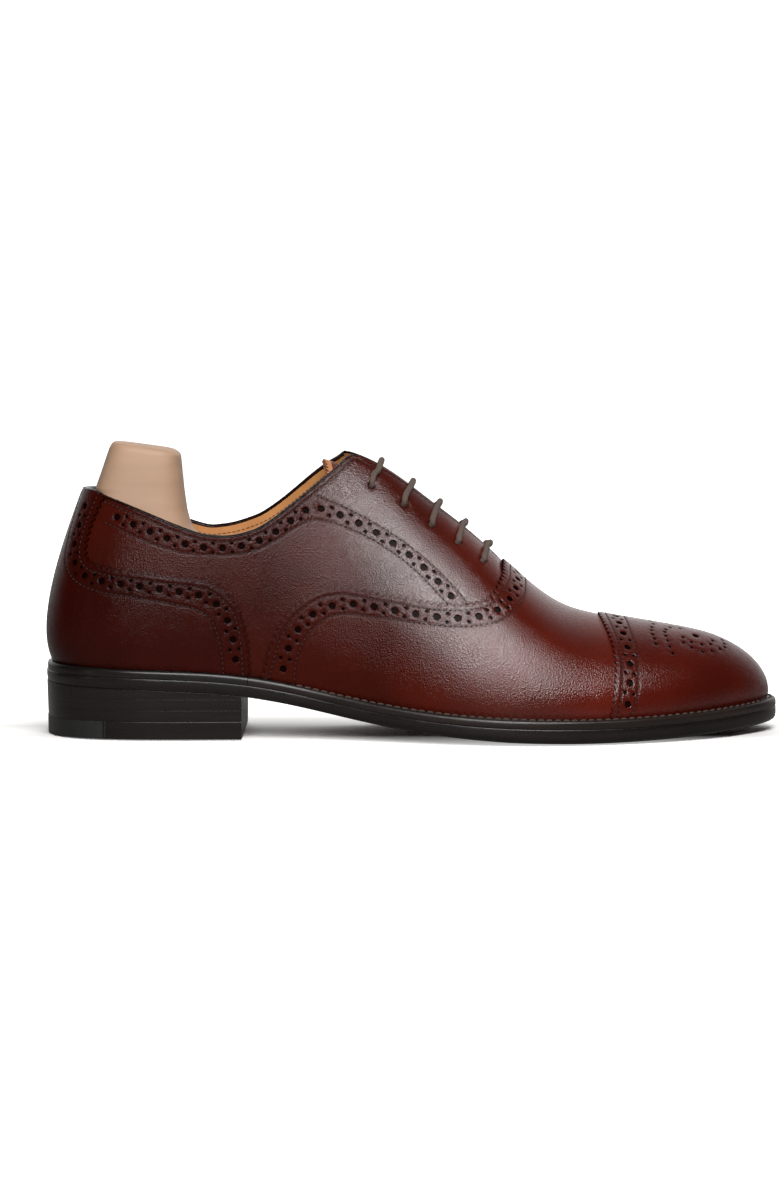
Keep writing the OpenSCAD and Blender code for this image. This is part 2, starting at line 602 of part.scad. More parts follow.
// ---------- shoe tree ----------
// Top of the forepart seen from the side: low at the hinge, under the tongue.
TREE_TOP = [[40, 44], [62, 48], [80, 56], [100, 62], [120, 59], [140, 53], [150, 51.5],
  [163, 80], [172, 120]];
function tree_high(t) = meet(wall(t), TREE_TOP, 0);
tree_sections = [for (t = [4.6:0.6:15.41]) t];
tree_low = 0.13;
// The forepart starts in front of the hinge fork's back plate.
forepart_start = pin_at[0] + 10;
module tree_forepart() {
  rows = 7;
  wall_share = function (t, j) tree_low + (min(tree_high(t), 0.93) - tree_low) * j / rows;
  color(wood) difference() {
    loft([for (t = tree_sections) concat(
      [for (j = [0:rows]) skin(t, wall_share(t, j), tree_depth)],
      [for (j = [rows:-1:0]) skin(-t, wall_share(t, j), tree_depth)])]);
    translate([forepart_start - 70, -50, 0])
      cube([70, 100, 130]);
  }
}

// The heel block: level sections with rounded ends, its back an arc about the pin.
block_reach = 81.2;
function arc_back(z) = pin_at[0] - sqrt(pow(block_reach * size, 2) - pow(z - pin_at[2], 2));
BLOCK_LEVELS = [35, 37, 42, 50, 58, 66, 72, 78, 84, 90, 98, 106, 114, 117, 118.4];
function block_front(z) = lookup(z / size, [[35, 43.5], [37, 45], [66, 45], [70, 40], [74, 31],
  [78, 24.5], [84, 20.5], [98, 18], [110, 16.8], [114, 15.4], [117, 12], [118.4, 8]]) * size;
function block_back(z) = z < 98 * size ? arc_back(z)
  : lookup(z / size, [[98, -18.2], [106, -15.4], [114, -12.9], [117, -11.5], [118.4, -9]]) * size;
function block_half(z) = block_half_width * lookup(z / size, [[35, 0.75], [37, 0.8], [42, 0.9],
  [58, 1], [72, 0.96], [84, 0.88], [98, 0.8], [114, 0.72], [117, 0.66], [118.4, 0.5]]);
module tree_heel_block() {
  n = 24;
  roundness = 0.72;
  bend = function (v) sign(v) * pow(abs(v), roundness);
  color(wood) loft([for (k = backwards(BLOCK_LEVELS)) let (
      z = k * size, a = block_back(z), b = block_front(z), h = block_half(z))
    [for (j = [0:n - 1]) let (w = 360 * j / n)
      [(a + b) / 2 + (b - a) / 2 * bend(cos(w)), h * bend(sin(w)), z]]]);
}

// The hinge: a brass fork let into the forepart, a pin, and a brass leaf on the
// heel block between the two cheeks of the fork.
fork_width = 22;
fork_round = 6.5;
fork_foot = 20;
leaf_width = 9;
leaf_round = 6.2;
leaf_plate = 1.5;
cheek_gap = 0.5;
fork_plate = [7.9, 9.9];
cheek_reach = 8.5;
leaf_reach = 8.35;
leaf_height = 8;
module across_pin(d, length) {
  translate([0, length / 2, 0]) rotate([90, 0, 0]) cylinder(d = d, h = length, $fn = 48);
}
module tree_hinge_fork() {
  cheek = (fork_width - leaf_width) / 2 - cheek_gap;
  color(brass) translate(pin_at) difference() {
    union() {
      translate([fork_plate[0], -fork_width / 2, -fork_foot])
        cube([fork_plate[1] - fork_plate[0], fork_width, 13]);
      for (s = [-1, 1])
        translate([0, s * (fork_width - cheek) / 2, 0]) {
          across_pin(2 * fork_round, cheek);
          translate([-0.5, -cheek / 2, -fork_foot]) cube([cheek_reach + 0.5, cheek, 16]);
        }
    }
    across_pin(pin_diameter, 2 * fork_width);
  }
}
module tree_hinge_pin() {
  color(steel) translate(pin_at) across_pin(pin_diameter, fork_width);
}
module tree_hinge_leaf() {
  color(brass) translate(pin_at) difference() {
    union() {
      across_pin(2 * leaf_round, leaf_width);
      translate([-leaf_reach, -leaf_width / 2, -leaf_height / 2])
        cube([leaf_reach - 0.35, leaf_width, leaf_height]);
      translate([-leaf_reach, -leaf_width / 2 - 4, -18]) cube([leaf_plate, leaf_width + 8, 24]);
    }
    across_pin(pin_diameter + 2 * pin_clearance, 2 * fork_width);
  }
}

toe_cap();
vamp();
quarter_lateral();
quarter_medial();
counter_cover();
topline_binding();
tongue();
eyelet_tape_lateral();
eyelet_tape_medial();
vamp_interlining();
toe_puff();
heel_stiffener();
vamp_lining();
quarter_lining_lateral();
quarter_lining_medial();
lace();
insole();
sock_lining();
insole_rib();
cork_filler();
shank();
welt();
heel_rand();
outsole();
heel_seat_lift();
heel_lower_lifts();
top_piece();
rubber_tip();
heel_nails();
tree_forepart();
tree_hinge_fork();
tree_hinge_pin();
tree_heel_block();
tree_hinge_leaf();
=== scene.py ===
"""Leather oxford shoe with its shoe tree: the visual model in the shared frame."""
import math

import bpy
import numpy as np
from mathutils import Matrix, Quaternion, Vector, kdtree
from mathutils.geometry import delaunay_2d_cdt

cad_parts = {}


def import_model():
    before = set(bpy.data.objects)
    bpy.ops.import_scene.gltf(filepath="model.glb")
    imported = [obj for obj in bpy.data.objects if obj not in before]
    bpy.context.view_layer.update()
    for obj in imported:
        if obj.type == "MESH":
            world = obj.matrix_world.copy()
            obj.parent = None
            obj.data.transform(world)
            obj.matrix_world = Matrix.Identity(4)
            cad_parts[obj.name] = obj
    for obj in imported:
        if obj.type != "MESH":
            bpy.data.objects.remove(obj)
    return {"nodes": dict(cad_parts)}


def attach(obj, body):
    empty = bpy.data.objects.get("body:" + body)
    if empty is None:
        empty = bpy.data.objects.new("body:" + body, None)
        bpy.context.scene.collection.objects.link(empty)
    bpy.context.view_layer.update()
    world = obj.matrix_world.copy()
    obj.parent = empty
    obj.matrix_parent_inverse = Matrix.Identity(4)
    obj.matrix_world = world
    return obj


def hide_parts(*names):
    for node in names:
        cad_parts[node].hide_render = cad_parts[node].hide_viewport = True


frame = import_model()
MM = 0.001

# --- the last
# Sections round the foot: x, lateral y, medial y, z of the feather line;
# x, lateral y, medial y, z of the top line; flare and rise of the wall at the
# feather; reach and drop of the wall at the top. Millimetres.
SECTIONS = [
    (-37.8, 0, 0, 29.3, -18.9, 0, 0, 114, 9.5, 18, 12.4, 29),
    (-31.5, -20.5, 20.5, 29, -15, -13, 13, 114, 8, 18, 10, 28),
    (-12, -30, 30, 28.4, -5, -20, 20, 113.5, 4, 20, 4.5, 26),
    (13, -31, 30, 27.6, 11, -23, 23, 113, 3, 20, 4.5, 26),
    (38, -29.5, 26.5, 26.4, 31, -23, 22, 113.5, 2.6, 22, 6, 26),
    (62, -29, 23, 22.6, 50, -18.5, 17.5, 115.5, 2.2, 24, 10, 26),
    (80, -32, 22.5, 18.6, 68, -11, 10.5, 117, 2.4, 24, 13, 24),
    (97, -36.5, 25.5, 15.4, 86, -4.5, 4.5, 116.1, 2.6, 24, 16, 18),
    (115, -41, 31, 12.8, 103, -2.8, 2.8, 108.4, 2.8, 24, 19, 12),
    (133, -44.5, 37.5, 11.1, 120, -2.8, 2.8, 95, 2.8, 23, 21, 8),
    (150, -46.5, 43, 10.2, 137, -2.8, 2.8, 82.5, 2.8, 21, 22, 4),
    (168, -46.5, 46.5, 9.7, 154, 0, 0, 66, 2.8, 18, 24, 1),
    (186, -43, 46.5, 9.5, 172, 2, 2, 50.5, 2.8, 15, 26, 0),
    (204, -37, 44.5, 9.8, 190, 3.5, 3.5, 46.8, 2.8, 14, 25, 0),
    (222, -29, 40, 10.4, 209, 5, 5, 43.6, 2.8, 13, 23, 0),
    (240, -17.5, 32.5, 11.5, 226, 6.5, 6.5, 40.6, 2.8, 13, 20, 0),
    (254, -4, 21.5, 12.6, 226, 6.5, 6.5, 40.6, 2.8, 13, 18, 0),
    (260.3, 9, 9, 13, 226, 6.5, 6.5, 40.6, 2.8, 13, 18, 0),
]
TOE = 17
LOOP = 2 * TOE
CROWN_FALL = 0.17
BACK_SECTIONS, FRONT_SECTIONS = 2, 14


def unit(v):
    """Vectors scaled to length one."""
    return v / np.linalg.norm(v, axis=-1, keepdims=True)


def run_of(points):
    """Distance run along a row of points."""
    return np.concatenate([[0], np.cumsum(np.linalg.norm(np.diff(points, axis=0), axis=1))])


def round_angles(count):
    """Angles all the way round, as a column."""
    return np.linspace(0, 2 * math.pi, count, endpoint=False)[:, None]


def smooth_step(a, b, x):
    u = np.clip((x - a) / (b - a), 0, 1)
    return u * u * (3 - 2 * u)


def ring_controls():
    """Control points of the feather, flare, shoulder and top rings, lateral side first."""
    rows = [(k, 0) for k in range(TOE + 1)] + [(k, 1) for k in range(TOE - 1, 0, -1)]
    feather = np.array([(SECTIONS[k][0], SECTIONS[k][1 + m], SECTIONS[k][3]) for k, m in rows], float)
    top = np.array([(SECTIONS[k][4], SECTIONS[k][5 + m], SECTIONS[k][7]) for k, m in rows], float)
    along = np.roll(feather, -1, 0) - np.roll(feather, 1, 0)
    outward = unit(np.stack([along[:, 1], -along[:, 0], 0 * along[:, 0]], 1))
    flare, shoulder = feather.copy(), top.copy()
    for i, (k, m) in enumerate(rows):
        flare_out, rise, reach, drop = SECTIONS[k][8:]
        lean = np.array([0, 1.0 if m else -1.0, 0])
        if k < BACK_SECTIONS or k > FRONT_SECTIONS:
            lean = unit((feather[i] - top[i]) * [1, 1, 0])
        flare[i] += outward[i] * flare_out + [0, 0, rise]
        shoulder[i] += lean * reach - [0, 0, drop]
        if k > FRONT_SECTIONS:
            shoulder[i][2] -= CROWN_FALL * lean[0] * reach
    return feather, flare, shoulder, top


RINGS = ring_controls()


def ring(points, t):
    """Uniform cubic B-spline through the ring of control points; t counts sections."""
    i = np.floor(t).astype(int)
    u = (t - i)[:, None]
    parts = ((1 - u) ** 3, 3 * u**3 - 6 * u**2 + 4, -3 * u**3 + 3 * u**2 + 3 * u + 1, u**3)
    return sum(p * points[(i - 1 + k) % LOOP] for k, p in enumerate(parts)) / 6


def point_on_last(t, s):
    """Points at stations t, negative on the medial side, and shares s of the wall's height."""
    t, s = np.atleast_1d(t).astype(float), np.atleast_1d(s).astype(float)[:, None]
    feather, flare, shoulder, top = [ring(c, t) for c in RINGS]
    # In front of the lacing the two walls meet in one ridge.
    top[:, 1] -= 0.5 * (top[:, 1] - ring(RINGS[3], -t)[:, 1]) * smooth_step(10.4, 10.9, np.abs(t))
    return (1 - s) ** 3 * feather + 3 * (1 - s) ** 2 * s * flare + 3 * (1 - s) * s * s * shoulder + s**3 * top


def tangents(t, s):
    q = np.clip(s, 0.006, 0.984)
    along = (point_on_last(t + 0.01, q) - point_on_last(t - 0.01, q)) / 0.02
    upward = (point_on_last(t, q + 0.006) - point_on_last(t, q - 0.006)) / 0.012
    return along, upward


def normals(t, s):
    return unit(np.cross(*tangents(t, s)))


def skin(t, s, depth=0.0):
    """Points of the last at stations t and height shares s, moved inward by depth."""
    t, s = np.broadcast_arrays(np.atleast_1d(t).astype(float), np.atleast_1d(s).astype(float))
    depth = np.broadcast_to(np.asarray(depth, float), t.shape)
    return point_on_last(t, s) - normals(t, s) * depth[:, None]


def shift(ts, step):
    """Moves station points by a step in millimetres that lies in the surface."""
    along, upward = tangents(*ts.T)
    aa, ab, bb = (along * along).sum(1), (along * upward).sum(1), (upward * upward).sum(1)
    sa, sb = (step * along).sum(1), (step * upward).sum(1)
    return ts + np.stack([sa * bb - sb * ab, sb * aa - sa * ab], 1) / (aa * bb - ab * ab)[:, None]


def sideways(line, distance, direction=None):
    """Moves points of a line to its left, seen from outside, by one distance or one for each point."""
    if direction is None:
        direction = np.gradient(point_on_last(*line.T), axis=0)
    side = unit(np.cross(normals(*line.T), direction))
    line = shift(line, side * np.reshape(distance, (-1, 1)))
    line[:, 1] = np.clip(line[:, 1], 0, 1)
    return line


# --- lines drawn on the last
def station_net(first, last, count, low, rows):
    """Stations and shares of a net over the last."""
    t, s = np.meshgrid(np.linspace(first, last, count), np.linspace(low, 1, rows), indexing="ij")
    return t.ravel(), s.ravel()


GRID_T, GRID_S = station_net(0.1, 12, 700, 0, 260)
GRID_P = {side: point_on_last(side * GRID_T, GRID_S) for side in (1, -1)}


def from_side(points, side=1):
    """Station points, as on the lateral side, of a line given as (x, z) millimetres seen from the side."""
    found = []
    grid = GRID_P[side]
    for x, z in points:
        k = np.argmin((grid[:, 0] - x) ** 2 + (grid[:, 2] - z) ** 2)
        t, s = GRID_T[k], GRID_S[k]
        for _ in range(3):
            three = side * np.array([t, t + 0.01, t]), [s, s, s + 0.004]
            here, ahead, higher = point_on_last(*three)[:, [0, 2]]
            slopes = np.array([ahead - here, higher - here]).T / [0.01, 0.004]
            if abs(np.linalg.det(slopes)) < 1:
                break
            step = np.linalg.solve(slopes, [x, z] - here)
            t, s = t + np.clip(step[0], -0.1, 0.1), np.clip(s + np.clip(step[1], -0.05, 0.05), 0, 1)
        found.append((t, s))
    return np.array(found)


def from_above(points):
    """Station points of (x, y) millimetres seen from above on the toe."""
    t, s = station_net(12, 17, 260, 0.2, 160)
    ts = np.vstack([np.c_[t, s], np.c_[-t, s]])
    p = point_on_last(*ts.T)
    return np.array([ts[np.argmin((p[:, 0] - x) ** 2 + (p[:, 1] - y) ** 2)] for x, y in points])


def smooth_line(points, steps=10):
    """Catmull-Rom curve through points."""
    p = np.asarray(points, float)
    p = np.vstack([2 * p[0] - p[1], p, 2 * p[-1] - p[-2]])
    u = (np.arange(steps) / steps)[:, None]
    out = []
    for a, b, c, d in zip(p[:-3], p[1:-2], p[2:-1], p[3:]):
        bend = (2 * a - 5 * b + 4 * c - d) * u**2 + (3 * b - a - 3 * c + d) * u**3
        out.append(0.5 * (2 * b + (c - a) * u + bend))
    return np.vstack(out + [p[-2:-1]])


def resample(line, pitch=None, count=None, start=0.0, stop=0.0):
    """Evenly spaced points along a line, leaving start and stop millimetres at its ends."""
    run = run_of(point_on_last(*line.T))
    usable = run[-1] - start - stop
    if count is None:
        count = max(2, int(round(usable / pitch)) + 1)
    at = start + np.linspace(0, usable, count)
    return np.stack([np.interp(at, run, line[:, 0]), np.interp(at, run, line[:, 1])], 1)


def offset(line, distance, steps=4):
    for _ in range(steps):
        line = sideways(line, distance / steps)
    return line


def mixed(a, b, share=0.5, count=200):
    """The line lying between two lines, by share of their lengths."""
    return resample(a, count=count) * (1 - share) + resample(b, count=count) * share


def mirrored(line):
    return line * [-1, 1]


def both(*lines):
    """The lines on the lateral side, then on the medial side."""
    return [line * [side, 1] for side in (1, -1) for line in lines]


def level(first, last, count, height=0.0):
    """A line at one share of the wall's height."""
    return np.stack([np.linspace(first, last, count), np.full(count, height)], 1)


# The inner ankle is cut a few millimetres higher than the outer one: x, rise.
INNER_RISE = ([23, 30, 36, 43, 52, 62, 70, 78, 88], [0, 0.8, 1.9, 2.9, 3.6, 4.0, 4.8, 4.4, 2.2])


def ankle_lines(points):
    """A line of the ankle on the lateral side (1) and, higher, on the medial side (-1)."""
    raised = [(x, z + float(np.interp(x, *INNER_RISE))) for x, z in points]
    return {1: smooth_line(from_side(points)), -1: smooth_line(from_side(raised, -1))}


def side_line(points, crown=()):
    """A line through side-view points, then through stations and shares over the crown."""
    return smooth_line([*from_side(points), *crown])


TOPLINES = ankle_lines([
    (-23.4, 99.6), (-19, 99.2), (-13, 96.8), (-5, 94), (6, 89.7), (17, 85.3), (27, 81.9), (33, 81.2),
    (38, 81.2), (43, 82), (49, 83.9), (54, 86.7), (60, 91), (66, 95.7), (72, 100.7), (78, 105.7),
    (82, 109.2), (84.6, 111.8), (87.2, 113.6), (90.5, 113.9),
])
COUNTER_EDGE = side_line([
    (45.8, 26), (45.6, 30), (45.2, 36.7), (43.8, 45.3), (41.2, 52.5), (36, 58.4), (29.7, 62.2),
    (22, 63.6), (12.4, 64.7), (6.1, 65.5), (-2.7, 66.6), (-11.3, 67.7), (-17.8, 69.4), (-20.8, 72.6),
    (-21, 77.5), (-19.8, 83), (-18, 88), (-15.6, 93.4), (-14, 97.4),
])
COUNTER_INNER = side_line([
    (36, 26), (34.9, 36), (33.4, 42.5), (30.8, 47.8), (26, 51.7), (16.1, 54.3), (2, 56.6), (-12.3, 58.6),
    (-21, 61), (-27, 65.5), (-29.2, 71.5), (-28.2, 80), (-25.9, 89), (-23.8, 97),
])
COUNTER_HOLES = side_line([
    (41, 28.5), (40.4, 36.5), (38.8, 44.2), (35.8, 51), (31, 55.8), (24, 58.2), (12, 59.9), (0, 61.5),
    (-10, 62.7), (-18.6, 64.4), (-23.4, 67.4), (-25.4, 73.4), (-24.4, 81), (-22, 89.5), (-20.8, 94),
])
VAMP_EDGE = side_line([
    (51.8, 21), (52.7, 27), (55.1, 36), (58.4, 44), (62.4, 50.2), (67.8, 55), (74.1, 58.5), (82.1, 60.3),
    (90, 59.5), (97.9, 58), (105.8, 56.8), (113.7, 55.5), (121.7, 54.4), (129.5, 54.1), (136.5, 54.6),
    (141.9, 56), (145.8, 59), (148.2, 62.6),
], crown=[(10.66, 0.78), (10.76, 0.9), (10.82, 1.0)])
VAMP_INNER = side_line([
    (64.2, 19), (64.9, 30), (66.8, 36.9), (69.6, 41.6), (72.8, 45.3), (77.1, 48.6), (81.6, 50.1),
    (87, 50.4), (95.4, 49.6), (106.8, 48.3), (113.9, 47.3), (121.1, 46.5), (128.2, 46), (135.3, 46.1),
    (142.5, 47.1), (147.2, 48.6), (151.5, 51.2), (155.3, 54.8),
], crown=[(11.06, 0.74), (11.2, 0.88), (11.25, 1.0)])
FACING_LINE = side_line([
    (73.6, 97.4), (78.7, 95.2), (83.3, 93.3), (87.7, 91.3), (92.1, 89), (98.2, 85.7), (103.4, 82.6),
    (106.8, 80.4), (113.7, 75.4), (120.5, 69.8), (126, 64.4), (131.9, 58), (134.8, 53.5),
])
BAND_LOWERS = ankle_lines([
    (-12.4, 86.4), (-7.9, 84.6), (-3.4, 82.6), (1, 80.8), (5.3, 79.1), (9.5, 77.6), (13.7, 76.3),
    (18.5, 75), (23.9, 74.3), (29.3, 74), (34.5, 73.9), (40.1, 74.1), (44.2, 74.7), (48.8, 75.8),
    (52.8, 77.4), (56.8, 79.6), (60.6, 82), (64.7, 84.7), (68.2, 86.6), (71.4, 87.8), (76.5, 87.6),
    (81.4, 86.3), (86.3, 84.5), (90.9, 82.5), (95.2, 80.3), (101, 76.9), (106.7, 73.1), (110.5, 70.1),
    (114.4, 66.9), (117.8, 63.5), (121.6, 59.6), (126.8, 53.8),
])
# The cap's lines, as (station, share of the wall's height).
CAP_EDGE = smooth_line([
    (12.26, 0.0), (12.33, 0.1), (12.43, 0.2), (12.6, 0.34), (12.71, 0.43), (12.8, 0.54), (12.87, 0.65),
    (12.92, 0.79), (12.94, 0.9), (12.95, 1.0),
])
CAP_INNER = smooth_line([
    (12.68, 0.0), (12.86, 0.15), (13.06, 0.34), (13.25, 0.5), (13.37, 0.68), (13.46, 0.85), (13.48, 1.0),
])
TOPLINE = TOPLINES[1]

# Depths inward from the outside of the vamp, and the thickness of the leather. Millimetres.
CAP_DEPTH, TOP_DEPTH, QUARTER_DEPTH = -0.9, 0.0, 1.05
LINING_DEPTH, LINING_IN = 2.6, 3.6
UPPER = 1.0


# --- mesh helpers
def add_object(name, data):
    obj = bpy.data.objects.new(name, data)
    bpy.context.scene.collection.objects.link(obj)
    return obj


class Mesh:
    """Collects vertices, faces, material numbers and a darkening value per vertex."""

    def __init__(self):
        self.points, self.faces, self.marks, self.dark = [], [], [], []
        self.count = 0

    def add(self, points, faces, mark=0, dark=0.0):
        self.points.append(points)
        self.dark.append(np.broadcast_to(np.asarray(dark, float), (len(points),)))
        self.faces.extend([tuple(int(i) + self.count for i in f) for f in faces])
        self.marks.extend([mark] * len(faces))
        self.count += len(points)

    def grid(self, grid, mark=0, dark=0.0, closed=False, flip=False):
        """Rows of points joined by quads; closed joins each row's end to its start."""
        grid = np.asarray(grid, float)
        rows, columns = grid.shape[:2]
        faces = []
        for i in range(rows - 1):
            for j in range(columns if closed else columns - 1):
                a, b = i * columns + j, i * columns + (j + 1) % columns
                f = (a, b, b + columns, a + columns)
                faces.append(f[::-1] if flip else f)
        self.add(grid.reshape(-1, 3), faces, mark, dark)

    def place(self, name, materials, *also, body="shoe", piece=True):
        """Makes the object on its body; a piece stands for the node of its name and any others given."""
        mesh = bpy.data.meshes.new(name)
        mesh.from_pydata((np.vstack(self.points) * MM).tolist(), [], self.faces)
        attribute = mesh.attributes.new("dark", "FLOAT", "POINT")
        attribute.data.foreach_set("value", np.concatenate(self.dark).astype(np.float32))
        for m in materials:
            mesh.materials.append(m)
        mesh.polygons.foreach_set("material_index", self.marks)
        mesh.polygons.foreach_set("use_smooth", [True] * len(self.faces))
        mesh.validate()
        mesh.update()
        obj = add_object(name, mesh)
        if piece:
            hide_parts(name, *also)
        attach(obj, body)


# --- leather cut to shape
SPAN_T = np.linspace(-TOE, TOE, 681)
SPAN_X = run_of(point_on_last(SPAN_T, np.full(681, 0.4)))
HEIGHTS = np.array([run_of(point_on_last(np.full(30, t), np.linspace(0, 1, 30)))[-1] for t in SPAN_T])


def run_at(t):
    """Millimetres run along the shoe at a station."""
    return np.interp(t, SPAN_T, SPAN_X)


def wall_height(t):
    return np.interp(t, SPAN_T, HEIGHTS)


def side_chart(ts):
    """Flattens the walls: run along the shoe against height up the wall."""
    return np.stack([run_at(ts[:, 0]), ts[:, 1] * wall_height(ts[:, 0])], 1)


def crown_chart(ts):
    """Flattens the forefoot: the walls folded outward from the ridge, fanned round the toe."""
    t, s = ts.T
    p, top = point_on_last(t, s), point_on_last(t, np.ones(len(t)))
    fan = smooth_step(12.0, 15.2, np.abs(t))
    d = unit((ring(RINGS[0], t) - top)[:, :2])
    down = (1 - s) * wall_height(t)
    x = p[:, 0] * (1 - fan) + (top[:, 0] + down * d[:, 0]) * fan
    y = top[:, 1] + down * (np.where(t > 0, -1.0, 1.0) * (1 - fan) + d[:, 1] * fan)
    return np.stack([x, y], 1)


def inside(polygon, points):
    """Even-odd test of points against a closed polygon."""
    x, y = points.T
    result = np.zeros(len(points), bool)
    for (x1, y1), (x2, y2) in zip(polygon, np.roll(polygon, -1, 0)):
        if y1 != y2:
            result ^= ((y1 > y) != (y2 > y)) & (x < (x2 - x1) * (y - y1) / (y2 - y1) + x1)
    return result


def circle(centre, radius, count):
    ts = np.repeat([centre], count, 0)
    first = unit(tangents(*ts.T)[0])
    second = np.cross(normals(*ts.T), first)
    w = round_angles(count)
    return shift(ts, (first * np.cos(w) + second * np.sin(w)) * radius)


def gimped(line, pitch=2.9, tooth=1.6, side=1):
    """A pinked edge: small rounded teeth standing out from a line."""
    line = resample(line, pitch=0.6)
    teeth = int(round(run_of(point_on_last(*line.T))[-1] / pitch))
    heights = np.append(np.tile([0, 0.42, 0.82, 1.0, 0.82, 0.42], teeth), 0) * tooth
    return sideways(resample(line, count=teeth * 6 + 1), heights * side)


def nearest(points, seeds):
    """Distance from each point to the nearest seed."""
    tree = kdtree.KDTree(len(seeds))
    for i, p in enumerate(seeds):
        tree.insert(p, i)
    tree.balance()
    return np.array([tree.find(p)[2] for p in points])


def flat_gap(points, seeds):
    return nearest(np.pad(points, ((0, 0), (0, 1))), np.pad(seeds, ((0, 0), (0, 1))))


def depth_of(value, ts):
    return value(ts) if callable(value) else np.full(len(ts), float(value))


def fade(gap, reach):
    return np.exp(-((gap / reach) ** 2))


def clear_of(points, holes):
    """The points that fall outside every punched hole."""
    where = point_on_last(*points.T)
    ok = np.ones(len(points), bool)
    for t, s, r in holes:
        ok &= np.linalg.norm(where - point_on_last(t, s)[0], axis=1) > r + 0.14
    return points[ok]


def background(outline, chart, coarse):
    """Staggered interior points, about coarse millimetres apart, inside an outline."""
    (t_low, s_low), (t_high, s_high) = outline.min(0), outline.max(0)
    found = []
    # Stations are stepped by their real spacing, heights by the wall's real length.
    steps = max(2, int((run_at(t_high) - run_at(t_low)) / coarse))
    run = np.linspace(run_at(t_low), run_at(t_high), steps)
    for k, t in enumerate(np.interp(run, SPAN_X, SPAN_T)):
        count = max(2, int(wall_height(t) * (s_high - s_low) / coarse))
        s = s_low + (s_high - s_low) * (np.arange(count) + (0.25 if k % 2 else 0.75)) / count
        found.append(np.stack([np.full(count, t), s], 1))
    found = np.vstack(found)
    found = found[inside(chart(outline), chart(found))]
    return thin_out(found, chart(found), coarse * 0.6) if chart is crown_chart else found


def thin_out(stations, flat, distance):
    """Drops points closer than distance to one already kept."""
    kept, cells = [], {}
    for i, (x, y) in enumerate(flat):
        cell = (int(x // distance), int(y // distance))
        near = [j for a in (-1, 0, 1) for b in (-1, 0, 1) for j in cells.get((cell[0] + a, cell[1] + b), ())]
        if all((flat[j][0] - x) ** 2 + (flat[j][1] - y) ** 2 > distance**2 for j in near):
            cells.setdefault(cell, []).append(i)
            kept.append(i)
    return stations[kept]


def free_points(outline, fixed, holes, seam, chart, coarse):
    """Points round the holes, along and beside the seams, and a net filling the rest of a sheet."""
    rims = [circle((t, s), r + 0.32, loop_count(r)) for t, s, r in holes]
    beside = [offset(r, d, 1) for r in seam for d in (-1.5, -0.65, 0.65, 1.5)]
    extra = np.vstack(rims + seam + beside)
    net = background(outline, chart, coarse)
    far = flat_gap(chart(net), chart(np.vstack([fixed, extra])))
    net = clear_of(net[far > 0.45 * coarse], holes)
    good = inside(chart(outline), chart(extra)) & (flat_gap(chart(extra), chart(fixed)) > 0.12)
    return np.vstack([clear_of(extra[good], holes), net])


def loop_count(radius):
    return 14 if radius > 1 else 9


def sheet_faces(flat, sizes):
    """Triangles between flat points that start with closed loops, the outline first.

    Returns the faces of the whole sheet, and which of them cover a hole."""
    starts = np.cumsum([0] + sizes[:-1])
    edges = [(a + i, a + (i + 1) % n) for a, n in zip(starts, sizes) for i in range(n)]
    tag = np.full(len(flat), -1)
    tag[:sum(sizes)] = np.repeat(np.arange(len(sizes)), sizes)
    got = delaunay_2d_cdt([tuple(p) for p in flat], edges, [], 0, 1e-5)
    source = np.array([o[0] if o else -1 for o in got[3]])
    faces = source[np.array(got[2])]
    faces = faces[(faces >= 0).all(1)]
    tags = tag[faces]
    same = (tags == tags[:, :1]).all(1)
    doubtful = same & (tags[:, 0] == 0)
    ok = ~doubtful
    ok[doubtful] = inside(flat[:sizes[0]], flat[faces[doubtful]].mean(1))
    return faces[ok], (same & (tags[:, 0] > 0))[ok]


def orient(faces, where, normal):
    """Turns faces so that they look outward from the last."""
    a, b, c = [where[faces[:, k]] for k in range(3)]
    inward = (np.cross(b - a, c - a) * normal[faces[:, 0]]).sum(1) < 0
    return np.where(inward[:, None], faces[:, ::-1], faces)


